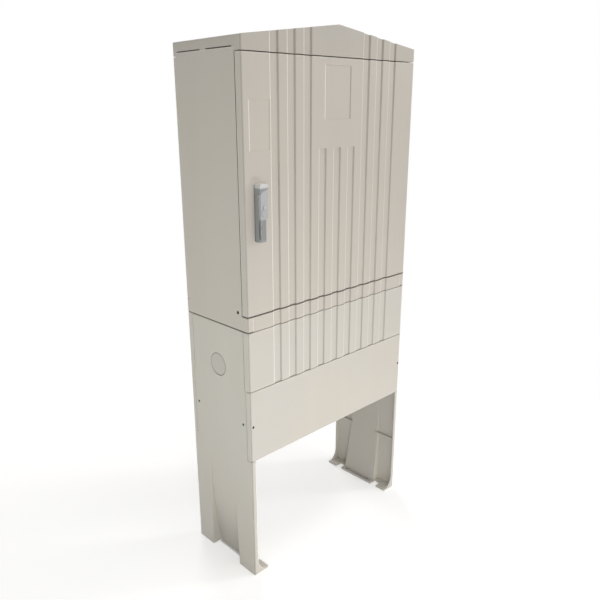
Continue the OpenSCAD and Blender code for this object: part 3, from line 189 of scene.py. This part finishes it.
class Value:
    """A node's output in a Python expression on numbers"""

    def __init__(self, graph, socket):
        self.graph = graph
        self.socket = socket

    def _math(self, operation, *terms):
        return self.graph.node("ShaderNodeMath", {"operation": operation}, dict(enumerate(terms)))

    def __add__(self, other):
        return self._math("ADD", self, other)

    def __radd__(self, other):
        return self._math("ADD", other, self)

    def __sub__(self, other):
        return self._math("SUBTRACT", self, other)

    def __rsub__(self, other):
        return self._math("SUBTRACT", other, self)

    def __mul__(self, other):
        return self._math("MULTIPLY", self, other)

    def __rmul__(self, other):
        return self._math("MULTIPLY", other, self)

    def __pow__(self, other):
        return self._math("POWER", self, other)

    def __rpow__(self, other):
        return self._math("POWER", other, self)

    def __neg__(self):
        return self * -1.0

    def __abs__(self):
        return self._math("ABSOLUTE", self)

    def least(self, other):
        return self._math("MINIMUM", self, other)

    def most(self, other):
        return self._math("MAXIMUM", self, other)


class Graph:
    """Node tree of one material or of the world, filled from Python expressions"""

    def __init__(self, owner):
        owner.use_nodes = True
        self.tree = owner.node_tree
        self.tree.nodes.clear()

    def node(self, kind, settings=None, inputs=None, output=0):
        """Adds a node with its settings, then the values or links of its sockets"""
        made = self.tree.nodes.new(kind)
        for name, value in (settings or {}).items():
            setattr(made, name, value)
        for name, value in (inputs or {}).items():
            if isinstance(value, Value):
                self.tree.links.new(value.socket, made.inputs[name])
            else:
                made.inputs[name].default_value = value
        return Value(self, made.outputs[output]) if made.outputs else made

    def coordinate(self, kind):
        return self.node("ShaderNodeTexCoord", None, None, kind)

    def vector(self, operation, inputs, output=0):
        return self.node("ShaderNodeVectorMath", {"operation": operation}, inputs, output)

    def axes(self, vector):
        """The three numbers of a vector"""
        split = self.node("ShaderNodeSeparateXYZ", None, {0: vector}).socket.node
        return [Value(self, socket) for socket in split.outputs]

    def noise(self, place, scale, detail=2.0, roughness=0.5):
        inputs = {"Vector": place, "Scale": scale, "Detail": detail, "Roughness": roughness}
        return self.node("ShaderNodeTexNoise", None, inputs)

    def cells(self, place, scale):
        return self.node("ShaderNodeTexVoronoi", {"feature": "F1"}, {"Vector": place, "Scale": scale})

    def stretched(self, place, scale, turn=(0.0, 0.0, 0.0)):
        """Place coordinates scaled by axis, for marks that run in one direction"""
        inputs = {"Vector": place, "Rotation": turn, "Scale": scale}
        return self.node("ShaderNodeMapping", None, inputs)

    def step(self, value, low, high):
        """0 below low, 1 above high, smooth between"""
        settings = {"interpolation_type": "SMOOTHSTEP"}
        return self.node("ShaderNodeMapRange", settings, {0: value, 1: low, 2: high})

    def mix(self, factor, first, second, blend="MIX"):
        """Blend of two colours"""
        settings = {"data_type": "RGBA", "blend_type": blend, "clamp_factor": True}
        return self.node("ShaderNodeMix", settings, {0: factor, 6: first, 7: second}, 2)

    def shade(self, colour, light):
        """Colour multiplied by a number"""
        grey = self.node("ShaderNodeCombineColor", None, {0: light, 1: light, 2: light})
        return self.mix(1.0, colour, grey, "MULTIPLY")

    def bump(self, height, distance, strength=1.0, normal=None):
        inputs = {"Height": height, "Distance": distance, "Strength": strength}
        if normal is not None:
            inputs["Normal"] = normal
        return self.node("ShaderNodeBump", None, inputs)

    def surface(self, inputs):
        """Principled shader on the material's output"""
        shader = self.node("ShaderNodeBsdfPrincipled", None, inputs)
        self.node("ShaderNodeOutputMaterial", None, {"Surface": shader})


def new_material(name):
    """A material with its empty graph and its place coordinates"""
    material = bpy.data.materials.new(name)
    graph = Graph(material)
    return material, graph, graph.coordinate("Object")


def rgba(colour, light=1.0):
    return (colour[0] * light, colour[1] * light, colour[2] * light, 1.0)


def edge_mask(graph, place, box, reach):
    """1 along the twelve edges of a piece's box, fading to 0 over the given reach"""
    gaps = []
    for at, low, high in zip(graph.axes(place), *box):
        gaps.append((at - low).least(high - at))
    far = gaps[0].most(gaps[1]).most(gaps[2])
    return 1.0 - graph.step(gaps[0] + gaps[1] + gaps[2] - far, 0.0, reach)


def flanks(graph):
    """Painted highlight where front and rear faces lean to the right, with the lips there, and painted shade
    where they lean to the left
    """
    across, along, _ = graph.axes(graph.coordinate("Normal"))
    upright = graph.step(abs(along), 0.2, 0.55)
    rounded = graph.node("ShaderNodeBevel", {"samples": LIP_RAYS}, {"Radius": LIP_REACH})
    turned = {"vector_type": "NORMAL", "convert_from": "WORLD", "convert_to": "OBJECT"}
    lean = graph.axes(graph.node("ShaderNodeVectorTransform", turned, {0: rounded}))[0]
    painted_light = graph.step(lean.most(across), 0.06, 0.3) * upright
    return painted_light, graph.step(-across, 0.15, 0.5) * upright


def leg_hollow(graph, place, box):
    """How deep the outer face of a leg lies in the leg's hollow, from 0 to 1"""
    low, high = box
    side = 1.0 if low.x > 0 else -1.0
    outer = high.x if low.x > 0 else -low.x
    middle = (low.y + high.y) / 2
    across, along, _ = graph.axes(place)
    faces = graph.axes(graph.coordinate("Normal"))[0] * side
    depth = graph.step(outer - across * side, HOLLOW_SHALLOW, HOLLOW_DEEP)
    band = 1.0 - graph.step(abs(along - middle), HOLLOW_HALF_WIDTH, HOLLOW_HALF_WIDTH + HOLLOW_SIDE)
    return depth * band * graph.step(faces, -0.05, 0.15)


def joint_shade_mask(graph, place, box, end):
    """1 along the lower or the upper edge of a piece, where a joint gets painted shade"""
    low, high = box
    height = graph.axes(place)[2]
    above = height - low.z if end == "lower" else high.z - height
    return 1.0 - graph.step(above, JOINT_SHADE_REACH * 0.6, JOINT_SHADE_REACH)


def plug_ring(graph, place, box):
    """1 on the outer ring of a blanking plug's disc"""
    low, high = box
    off = graph.vector("SUBTRACT", {0: place, 1: (low + high) / 2})
    flat = graph.vector("MULTIPLY", {0: off, 1: (0.0, 1.0, 1.0)})
    out = graph.vector("LENGTH", {0: flat}, "Value")
    rim = (high.z - low.z) / 2 - PLUG_FLANGE
    return graph.step(out, rim - RING_WIDTH, rim - RING_WIDTH / 2)


def moulding_darkening(graph, place, node, dust_and_flank_shade):
    """Share of a moulding's colour taken away by painted shade, and by the darker ring on a plug"""
    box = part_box(node)
    darkening = dust_and_flank_shade * FLANK_SHADE
    if node.endswith("base_side"):
        darkening = darkening.most(leg_hollow(graph, place, box) * HOLLOW_SHADE)
    if node.endswith("blanking_plug"):
        darkening = darkening.most(plug_ring(graph, place, box) * RING_DARKENING)
    if node in SHADED_EDGES:
        darkening = darkening.most(joint_shade_mask(graph, place, box, SHADED_EDGES[node]) * JOINT_SHADE)
    return darkening


def moulding(node, finish):
    """Glass-filled moulding compound: fine grain, faint fibres and flow marks, rubbed edges, painted
    highlights, painted shade and darker plug rings
    """
    material, graph, place = new_material("moulding_" + node)
    clouds = graph.noise(place, 2.6, 3.0)
    flow = graph.noise(graph.stretched(place, (14.0, 14.0, 1.6)), 1.0, 3.0)
    grain = graph.noise(place, 620.0, 2.0, 0.6)
    fibres = graph.noise(graph.stretched(place, (900.0, 900.0, 55.0), (0.4, 0.3, 0.0)), 1.0, 1.0)
    crossed = graph.noise(graph.stretched(place, (60.0, 700.0, 900.0), (0.0, 0.5, 0.7)), 1.0, 1.0)
    strands = graph.step(fibres.most(crossed), 0.62, 0.74)
    worn = graph.step(graph.noise(place, 34.0, 4.0), 0.36, 0.7)
    rubbed = edge_mask(graph, place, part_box(node), RUBBED_REACH) * worn
    light = 1.0 + (clouds - 0.5) * 0.07 + (flow - 0.5) * 0.05 + (grain - 0.5) * 0.05 + strands * 0.018
    tone = TONES.get(node, 1.0)
    cloudy = graph.step(clouds, 0.35, 0.7)
    base = graph.mix(cloudy, rgba(finish.colour, tone), rgba(finish.shadow_tint, tone))
    colour = graph.shade(base, light)
    colour = graph.mix(rubbed * 0.45, colour, rgba(finish.rubbed_colour))
    # Lips that face the right get a painted highlight, and flanks that face the left get painted shade
    painted_light, dust_and_flank_shade = flanks(graph)
    colour = graph.mix(painted_light, colour, rgba(finish.lip_highlight_colour))
    colour = graph.shade(colour, 1.0 - moulding_darkening(graph, place, node, dust_and_flank_shade))
    rough = finish.roughness + (clouds - 0.5) * 0.12 + (grain - 0.5) * 0.1 - rubbed * 0.08
    waves = graph.bump(graph.noise(place, 7.0, 1.0), finish.waviness)
    skin = graph.bump(grain + strands * 0.35, finish.grain_depth, 0.5, waves)
    graph.surface({"Base Color": colour, "Roughness": rough, "Normal": skin, "Specular IOR Level": 0.42})
    return material


def plated_steel(finish):
    """Zinc plating with a faint spangle and drawn lines"""
    material, graph, place = new_material("zinc_plating")
    spangle = graph.cells(place, 160.0)
    clouds = graph.noise(place, 18.0, 3.0)
    drawn = graph.noise(graph.stretched(place, (30.0, 1400.0, 1400.0)), 1.0, 2.0)
    light = 0.9 + clouds * 0.2 + (spangle - 0.4) * 0.12 + (drawn - 0.5) * 0.1
    colour = graph.shade(rgba(finish.steel_colour), light)
    rough = 0.36 + (clouds - 0.5) * 0.2 + (drawn - 0.5) * 0.12
    graph.surface({
        "Base Color": colour, "Metallic": 0.92, "Roughness": rough,
        "Normal": graph.bump(drawn, 0.00006, 0.5),
    })
    return material


def cast_handle(node, finish, coat):
    """Satin coat over a die casting: rubbed edges, a dark grip, painted light on the upper end, a painted
    contact shadow at the foot, and dust with painted light on top
    """
    material, graph, place = new_material("coat_" + node)
    flakes = graph.cells(place, 2400.0)
    peel = graph.noise(place, 900.0, 2.0)
    clouds = graph.noise(place, 45.0, 3.0)
    worn = graph.step(graph.noise(place, 160.0, 3.0), 0.36, 0.62)
    low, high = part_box(node)
    rubbed = edge_mask(graph, place, (low, high), HANDLE_RUBBED_REACH) * worn
    colour = graph.shade(rgba(coat), 0.94 + clouds * 0.08 + flakes * 0.08)
    _, along, height = graph.axes(place)
    if node == "lever":
        gripped = 1.0 - graph.step(height, low.z + GRIP_HEIGHT * 0.9, low.z + GRIP_HEIGHT)
        colour = graph.shade(colour, 1.0 - gripped * 0.4)
    if node == "handle_housing":
        # The upper end gets painted light from above, in the dust's colour
        painted_light = graph.step(height, high.z - PAINTED_LIGHT_END, high.z - PAINTED_LIGHT_END / 2)
        colour = graph.mix(painted_light * 0.55, colour, rgba(finish.dust_and_light_colour))
        # The foot near the door gets a painted contact shadow
        contact_shade = graph.step(along, high.y - FOOT_UNSHADED, high.y - FOOT_SHADED)
        colour = graph.shade(colour, 1.0 - contact_shade * 0.6)
    colour = graph.mix(rubbed * 0.6, colour, rgba(finish.handle_rubbed))
    # Upward faces take the dust's colour: dust, and painted light from above
    upward = graph.axes(graph.coordinate("Normal"))[2]
    colour = graph.mix(graph.step(upward, 0.4, 0.8) * 0.85, colour, rgba(finish.dust_and_light_colour))
    rough = 0.38 + (clouds - 0.5) * 0.12 - rubbed * 0.1
    graph.surface({
        "Base Color": colour, "Metallic": 0.35, "Roughness": rough,
        "Normal": graph.bump(peel, 0.00008, 0.5),
    })
    return material


def black_oxide():
    """Blackened screw steel, worn grey where the driver turns"""
    material, graph, place = new_material("black_oxide")
    worn = graph.step(graph.noise(place, 700.0, 3.0), 0.5, 0.75)
    colour = graph.mix(worn * 0.35, (0.03, 0.029, 0.028, 1.0), (0.2, 0.19, 0.18, 1.0))
    graph.surface({"Base Color": colour, "Metallic": 0.6, "Roughness": 0.42 + worn * 0.16})
    return material


def seal_rubber():
    """Foamed black rubber with a dusty bloom"""
    material, graph, place = new_material("seal_rubber")
    bloom = graph.noise(place, 60.0, 4.0)
    foam = graph.noise(place, 1500.0, 2.0)
    dust_and_flank_shade = graph.step(bloom, 0.4, 0.8) * 0.5
    colour = graph.mix(dust_and_flank_shade, (0.012, 0.012, 0.012, 1.0), (0.05, 0.05, 0.048, 1.0))
    graph.surface({
        "Base Color": colour, "Roughness": 0.72 + bloom * 0.16,
        "Normal": graph.bump(foam, 0.0002, 0.6),
    })
    return material


def guide_plastic():
    """Black moulded plastic with a fine eroded texture"""
    material, graph, place = new_material("guide_plastic")
    eroded = graph.noise(place, 1100.0, 3.0)
    colour = graph.shade(rgba((0.02, 0.02, 0.021)), 0.75 + eroded * 0.5)
    graph.surface({
        "Base Color": colour, "Roughness": 0.5 + eroded * 0.14,
        "Normal": graph.bump(eroded, 0.0001, 0.5),
    })
    return material


def finish_node(node, material, edge):
    """Gives a CAD node its material and softened edges"""
    piece = NODES[node]
    if not piece.material_slots:
        raise RuntimeError(node + " has no material slot")
    for holder in piece.material_slots:
        holder.material = material
    weld = piece.modifiers.new("joined_corners", "WELD")
    weld.merge_threshold = JOINED
    whole = piece.modifiers.new("whole_faces", "DECIMATE")
    whole.decimate_type = "DISSOLVE"
    whole.angle_limit = FLAT_ANGLE
    soften = piece.modifiers.new("soft_edges", "BEVEL")
    soften.width = edge
    soften.segments = 2
    soften.limit_method = "ANGLE"
    soften.angle_limit = SHARP_ANGLE
    soften.use_clamp_overlap = True
    soften.harden_normals = True
    even = piece.modifiers.new("even_shading", "WEIGHTED_NORMAL")
    even.keep_sharp = True


def new_piece(name, shape, material, body):
    """Makes a piece from a filled bmesh, on a body"""
    bmesh.ops.recalc_face_normals(shape, faces=shape.faces)
    mesh = bpy.data.meshes.new(name)
    shape.to_mesh(mesh)
    shape.free()
    piece = bpy.data.objects.new(name, mesh)
    bpy.context.scene.collection.objects.link(piece)
    mesh.materials.append(material)
    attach(piece, body)
    return piece


def bridge(shape, rings):
    """Joins each ring of points to the next by faces"""
    for first, second in zip(rings, rings[1:]):
        for at in range(len(first)):
            after = (at + 1) % len(first)
            shape.faces.new((first[at], first[after], second[after], second[at]))


def colour_setting(name, description, default):
    return FloatVectorProperty(
        name=name, description=description, subtype="COLOR", size=3, default=default, min=0.0, max=1.0)


def length_setting(name, description, default, most):
    return FloatProperty(
        name=name, description=description, unit="LENGTH", default=default, min=0.0, max=most)


def power_setting(name, description, default):
    return FloatProperty(
        name=name, description=description, unit="POWER", default=default, min=0.0, max=5000.0)


class FinishSettings(bpy.types.PropertyGroup):
    """Colours and surface of one moulding compound"""

    colour: colour_setting("Colour", "Colour of the moulding compound", (0.598, 0.552, 0.482))
    shadow_tint: colour_setting(
        "Cloud colour", "Colour of the faint clouds in the compound", (0.583, 0.545, 0.49))
    rubbed_colour: colour_setting("Rubbed colour", "Colour of the rubbed edges", (0.72, 0.69, 0.63))
    # Colour of the painted highlight on the lips that face the right
    lip_highlight_colour: colour_setting(
        "Bleached colour", "Colour of the flanks that face the sun", (0.95, 0.93, 0.89))
    roughness: FloatProperty(
        name="Roughness", description="Mean roughness of the moulded skin", default=0.5, min=0.0, max=1.0)
    grain_depth: length_setting("Grain depth", "Depth of the moulded grain", 0.00016, 0.002)
    waviness: length_setting("Waviness", "Depth of the panels' slow waves", 0.0012, 0.01)
    edge: length_setting("Edge", "Width of the softened moulded edges", 0.0009, 0.003)


class MetalSettings(bpy.types.PropertyGroup):
    """Colours of the steel pieces and the handle"""

    steel_colour: colour_setting("Zinc", "Colour of the plated steel", (0.56, 0.57, 0.57))
    housing_colour: colour_setting(
        "Housing", "Colour of the coat on the handle's housing", (0.29, 0.3, 0.305))
    lever_colour: colour_setting("Lever", "Colour of the coat on the lever", (0.42, 0.43, 0.435))
    handle_rubbed: colour_setting("Handle edge", "Colour of the handle's rubbed edges", (0.7, 0.71, 0.71))
    # Colour of the dust on the handle's upper faces, used there as painted light as well
    dust_and_light_colour: colour_setting("Dust", "Colour of the dust on the handle's upper faces", (0.86, 0.86, 0.84))
    edge: length_setting("Edge", "Width of the metal's softened edges", 0.0004, 0.002)
    handle_edge: length_setting("Handle edge width", "Width of the handle's softened edges", 0.0012, 0.003)


class StageSettings(bpy.types.PropertyGroup):
    """Floor, lamps and camera"""

    floor_colour: colour_setting("Floor", "Colour of the floor", (0.8, 0.8, 0.79))
    sky: FloatProperty(
        name="Sky", description="Strength of the even light all round", default=0.165, min=0.0, max=2.0)
    zenith: FloatProperty(
        name="Zenith", description="Strength of the light overhead", default=0.45, min=0.0, max=5.0)
    glow: FloatProperty(
        name="Floor glow", description="Light of the floor itself as the camera sees it",
        default=0.44, min=0.0, max=2.0)
    right: power_setting("Right", "Power of the far lamp on the right", 112.0)
    top: power_setting("Top", "Power of the lamp overhead", 20.0)
    front: power_setting("Front", "Power of the soft lamp in front", 46.0)
    low: power_setting("Low", "Power of the low lamp in front", 10.0)
    left: power_setting("Left", "Power of the lamp at the floor on the left", 43.0)
    rear: power_setting("Rear", "Power of the soft lamp behind", 120.0)
    lens: FloatProperty(
        name="Lens", description="Focal length", unit="CAMERA", default=37.314, min=1.0, max=200.0)


class EnclosureSettings(bpy.types.PropertyGroup):
    """All settings of the enclosure"""

    cabinet: PointerProperty(
        type=FinishSettings, name="Cabinet", description="Finish of the cabinet's mouldings")
    plinth: PointerProperty(
        type=FinishSettings, name="Plinth", description="Finish of the plinth's mouldings")
    metal: PointerProperty(type=MetalSettings, name="Metal", description="Finish of the metal pieces")
    stage: PointerProperty(type=StageSettings, name="Stage", description="Floor, lamps and camera")


class ENCLOSURE_OT_cabinet(bpy.types.Operator):
    """Finish the cabinet's walls, sills, roof and door"""

    bl_idname = "enclosure.cabinet"
    bl_label = "Cabinet mouldings"

    def execute(self, context):
        finish = context.scene.enclosure.cabinet
        for node in CABINET:
            finish_node(node, moulding(node, finish), finish.edge)
        return {"FINISHED"}


class ENCLOSURE_OT_plinth(bpy.types.Operator):
    """Finish the plinth's legs, covers and plugs"""

    bl_idname = "enclosure.plinth"
    bl_label = "Plinth mouldings"

    def execute(self, context):
        finish = context.scene.enclosure.plinth
        for node in PLINTH:
            finish_node(node, moulding(node, finish), finish.edge)
        return {"FINISHED"}


class ENCLOSURE_OT_metalwork(bpy.types.Operator):
    """Finish the rails, the hinges, the rod lock and its guides"""

    bl_idname = "enclosure.metalwork"
    bl_label = "Rails, hinges and lock"

    def execute(self, context):
        metal = context.scene.enclosure.metal
        zinc = plated_steel(metal)
        for node in RAILS + LOCK + HANDLE_METAL:
            finish_node(node, zinc, metal.edge)
        black = guide_plastic()
        for node in GUIDES:
            finish_node(node, black, metal.edge)
        return {"FINISHED"}


class ENCLOSURE_OT_handle(bpy.types.Operator):
    """Finish the handle's housing, lever and dust cap"""

    bl_idname = "enclosure.handle"
    bl_label = "Handle"

    def execute(self, context):
        metal = context.scene.enclosure.metal
        coats = (metal.housing_colour, metal.lever_colour, metal.lever_colour)
        for node, coat in zip(HANDLE, coats):
            finish_node(node, cast_handle(node, metal, coat), metal.handle_edge)
        return {"FINISHED"}


class ENCLOSURE_OT_seal(bpy.types.Operator):
    """Make the door's rubber seal with its bulb"""

    bl_idname = "enclosure.seal"
    bl_label = "Door seal"

    def execute(self, context):
        low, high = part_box("door_seal")
        shape = bmesh.new()
        rings = []
        for across, out in SEAL_SHARES:
            inset = across * SEAL_WIDTH
            y = high.y - out * (high.y - low.y)
            left, right = low.x + inset, high.x - inset
            foot, head = low.z + inset, high.z - inset
            corners = ((left, foot), (right, foot), (right, head), (left, head))
            rings.append([shape.verts.new((x, y, z)) for x, z in corners])
        bridge(shape, rings + rings[:1])
        piece = new_piece("bulb_seal", shape, seal_rubber(), "enclosure")
        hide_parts("door_seal")
        return {"FINISHED"}


def loose_boxes(node):
    """Boxes of the separate solids of a CAD node"""
    probe = bmesh.new()
    probe.from_mesh(NODES[node].data)
    bmesh.ops.remove_doubles(probe, verts=probe.verts, dist=JOINED)
    unseen = set(probe.verts)
    boxes = []
    while unseen:
        group = [unseen.pop()]
        for vert in group:
            for edge in vert.link_edges:
                other = edge.other_vert(vert)
                if other in unseen:
                    unseen.remove(other)
                    group.append(other)
        places = list(zip(*(vert.co for vert in group)))
        boxes.append((Vector([min(along) for along in places]), Vector([max(along) for along in places])))
    probe.free()
    return sorted(boxes, key=lambda box: tuple(round(c, 5) for c in box[0]))


def turned_ring(shape, spin, centre, radius, height, steps, lobe=0.0):
    """Points round a screw's axis at a height, drawn in between the drive's lobes by a share"""
    ring = []
    for step in range(steps):
        angle = 2 * math.pi * step / steps
        reach = radius * (1.0 - lobe + lobe * math.cos(DRIVE_LOBES * angle))
        point = Vector((reach * math.cos(angle), reach * math.sin(angle), height))
        ring.append(shape.verts.new(centre + spin @ point))
    return ring


def add_screw(shape, top, outward, shank, head, head_height, length, nut):
    """One screw: chamfered shank, rounded head with a six-lobed drive and, for a bolt, a hexagon nut"""
    spin = outward.to_track_quat("Z", "X").to_matrix()
    r, h = head / 2, head_height
    drive = r * 0.5
    outline = (
        (shank * 0.35, -length), (shank / 2, -length + shank * 0.15), (shank / 2, -h),
        (r * 0.97, -h), (r, -h * 0.9), (r, -h * 0.35), (r * 0.93, -h * 0.1), (r * 0.8, 0.0),
        (drive * 1.12, 0.0),
    )
    rings = [turned_ring(shape, spin, top, radius, height, SCREW_STEPS) for radius, height in outline]
    for radius, height in ((drive, -h * 0.06), (drive * 0.94, -h * 0.7)):
        rings.append(turned_ring(shape, spin, top, radius, height, SCREW_STEPS, DRIVE_LOBE_SHARE))
    bridge(shape, rings)
    shape.faces.new(list(reversed(rings[0])))
    shape.faces.new(rings[-1])
    if nut:
        far = -length
        outline = (
            (shank / 2, far), (r * 0.86, far), (r, far + nut * 0.16), (r, far + nut * 0.84),
            (r * 0.86, far + nut), (shank / 2, far + nut),
        )
        rings = [turned_ring(shape, spin, top, radius, height, NUT_SIDES) for radius, height in outline]
        bridge(shape, rings + rings[:1])


class ENCLOSURE_OT_fasteners(bpy.types.Operator):
    """Make the screws and bolts with their drives and nuts"""

    bl_idname = "enclosure.fasteners"
    bl_label = "Screws and bolts"

    def execute(self, context):
        zinc = bpy.data.materials["zinc_plating"]
        dark = black_oxide()
        for node, (side, shank, head_height, nut, body) in FASTENERS.items():
            shape = bmesh.new()
            for low, high in loose_boxes(node):
                middle = (low + high) / 2
                outward = self.outward(side, middle)
                size = high - low
                length = abs(size.dot(outward))
                head = max(abs(size[i]) for i in range(3) if abs(outward[i]) < 0.5)
                top = middle + outward * (length / 2)
                add_screw(shape, top, outward, shank, head, head_height, length, nut)
            is_dark = node in DARK_FASTENERS
            material, slot = (dark, "dark_screw") if is_dark else (zinc, "steel")
            piece = new_piece("driven_" + node, shape, material, body)
            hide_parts(node)
        return {"FINISHED"}

    def outward(self, side, middle):
        """Axis on which a screw's head looks out, away from the part's middle for the sides named so"""
        if side == "out_x":
            return Vector((math.copysign(1, middle.x), 0, 0))
        if side == "out_y":
            return Vector((0, math.copysign(1, middle.y), 0))
        return OUTWARD[side]


def seen_rays(graph):
    """1 for rays of the camera and for those that metal mirrors or glass lets through"""
    rays = graph.node("ShaderNodeLightPath").socket.node.outputs
    mirrored = Value(graph, rays["Is Glossy Ray"]).most(Value(graph, rays["Is Transmission Ray"]))
    return Value(graph, rays["Is Camera Ray"]).most(mirrored)


class ENCLOSURE_OT_stage(bpy.types.Operator):
    """Make the floor, the light and the camera"""

    bl_idname = "enclosure.stage"
    bl_label = "Floor, light and camera"

    def execute(self, context):
        stage = context.scene.enclosure.stage
        self.make_floor(context.scene, stage)
        self.make_world(context.scene, stage)
        for name, layout in LAMPS.items():
            self.make_lamp(context.scene, name + "_lamp", getattr(stage, name), *layout)
        self.make_camera(context.scene, stage)
        context.scene.view_settings.view_transform = "Standard"
        return {"FINISHED"}

    def make_floor(self, scene, stage):
        shape = bmesh.new()
        bmesh.ops.create_circle(shape, cap_ends=True, segments=FLOOR_SIDES, radius=FLOOR_RADIUS)
        mesh = bpy.data.meshes.new("floor")
        shape.to_mesh(mesh)
        shape.free()
        floor = bpy.data.objects.new("floor", mesh)
        scene.collection.objects.link(floor)
        material, graph, place = new_material("pale_floor")
        matt = graph.node("ShaderNodeBsdfDiffuse", None, {"Color": rgba(stage.floor_colour)})
        glow = graph.node("ShaderNodeEmission", None, {"Color": WHITE, "Strength": stage.glow})
        lit = graph.node("ShaderNodeAddShader", None, {0: matt, 1: glow})
        glowing = seen_rays(graph) * (1.0 - self.under_slots(graph, place))
        pale = graph.node("ShaderNodeMixShader", None, {0: glowing, 1: matt, 2: lit})
        clear = graph.node("ShaderNodeBsdfTransparent")
        far = graph.step(graph.vector("LENGTH", {0: place}, "Value"), *FLOOR_FADE)
        faded = graph.node("ShaderNodeMixShader", None, {0: far, 1: pale, 2: clear})
        graph.node("ShaderNodeOutputMaterial", None, {"Surface": faded})
        mesh.materials.append(material)

    def under_slots(self, graph, place):
        """Painted shadow below the slots in the two foot plates: 1 there, fading out around them"""
        low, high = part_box("left_base_side")
        across, along, _ = graph.axes(place)
        past_edge = abs(across) + high.x
        inside = graph.step(past_edge, *SLOT_START) * (1.0 - graph.step(past_edge, *SLOT_END))
        off = abs(along - (low.y + high.y) / 2)
        return inside * (1.0 - graph.step(off, *SLOT_HALF_LENGTH))

    def make_world(self, scene, stage):
        world = bpy.data.worlds.new("studio")
        scene.world = world
        graph = Graph(world)
        height = graph.axes(graph.coordinate("Generated"))[2]
        dome = stage.sky + height.most(0.0) ** 2.0 * stage.zenith
        strength = dome + seen_rays(graph) * (1.0 - dome)
        light = graph.node("ShaderNodeBackground", None, {"Color": WHITE, "Strength": strength})
        graph.node("ShaderNodeOutputWorld", None, {"Surface": light})

    def make_lamp(self, scene, name, power, place, target, size, colour):
        lamp = bpy.data.lights.new(name, "AREA")
        lamp.shape = "RECTANGLE"
        lamp.size, lamp.size_y = size
        lamp.energy = power
        lamp.color = colour
        holder = bpy.data.objects.new(name, lamp)
        scene.collection.objects.link(holder)
        holder.location = place
        holder.rotation_mode = "QUATERNION"
        holder.rotation_quaternion = (Vector(target) - Vector(place)).to_track_quat("-Z", "Y")
        holder.visible_camera = False

    def make_camera(self, scene, stage):
        lens = bpy.data.cameras.new("photo_camera")
        lens.lens = stage.lens
        lens.sensor_width = CAMERA_SENSOR
        lens.shift_x, lens.shift_y = CAMERA_SHIFT
        lens.clip_end = CAMERA_REACH
        camera = bpy.data.objects.new("photo_camera", lens)
        scene.collection.objects.link(camera)
        turn, rise, roll = (math.radians(a) for a in (CAMERA_TURN, CAMERA_RISE, CAMERA_ROLL))
        back = Vector((math.sin(turn) * math.cos(rise), -math.cos(turn) * math.cos(rise), math.sin(rise)))
        level = Vector((math.cos(turn), math.sin(turn), 0.0))
        upright = back.cross(level)
        right = level * math.cos(roll) + upright * math.sin(roll)
        up = upright * math.cos(roll) - level * math.sin(roll)
        camera.matrix_world = Matrix((right, up, back)).transposed().to_4x4()
        camera.location = CAMERA_PLACE
        scene.camera = camera


class ENCLOSURE_PT_panel(bpy.types.Panel):
    """Steps that dress the enclosure"""

    bl_label = "Enclosure"
    bl_idname = "ENCLOSURE_PT_panel"
    bl_space_type = "VIEW_3D"
    bl_region_type = "UI"
    bl_category = "Enclosure"

    def draw(self, context):
        settings = context.scene.enclosure
        for step in STEPS:
            self.layout.operator(step.bl_idname)
        for group in (settings.cabinet, settings.plinth, settings.metal, settings.stage):
            column = self.layout.column()
            for name in group.__annotations__:
                column.prop(group, name)


STEPS = (
    ENCLOSURE_OT_stage, ENCLOSURE_OT_cabinet, ENCLOSURE_OT_plinth, ENCLOSURE_OT_metalwork,
    ENCLOSURE_OT_handle, ENCLOSURE_OT_seal, ENCLOSURE_OT_fasteners,
)
CLASSES = (FinishSettings, MetalSettings, StageSettings, EnclosureSettings) + STEPS + (ENCLOSURE_PT_panel,)


def register():
    for each in CLASSES:
        bpy.utils.register_class(each)
    bpy.types.Scene.enclosure = PointerProperty(type=EnclosureSettings)


def unregister():
    del bpy.types.Scene.enclosure
    for each in reversed(CLASSES):
        bpy.utils.unregister_class(each)


def main():
    register()
    plinth = bpy.context.scene.enclosure.plinth
    plinth.colour = PLINTH_COLOUR
    plinth.shadow_tint = PLINTH_CLOUDS
    bpy.ops.enclosure.stage()
    bpy.ops.enclosure.cabinet()
    bpy.ops.enclosure.plinth()
    bpy.ops.enclosure.metalwork()
    bpy.ops.enclosure.handle()
    bpy.ops.enclosure.seal()
    bpy.ops.enclosure.fasteners()


if __name__ == "__main__":
    main()
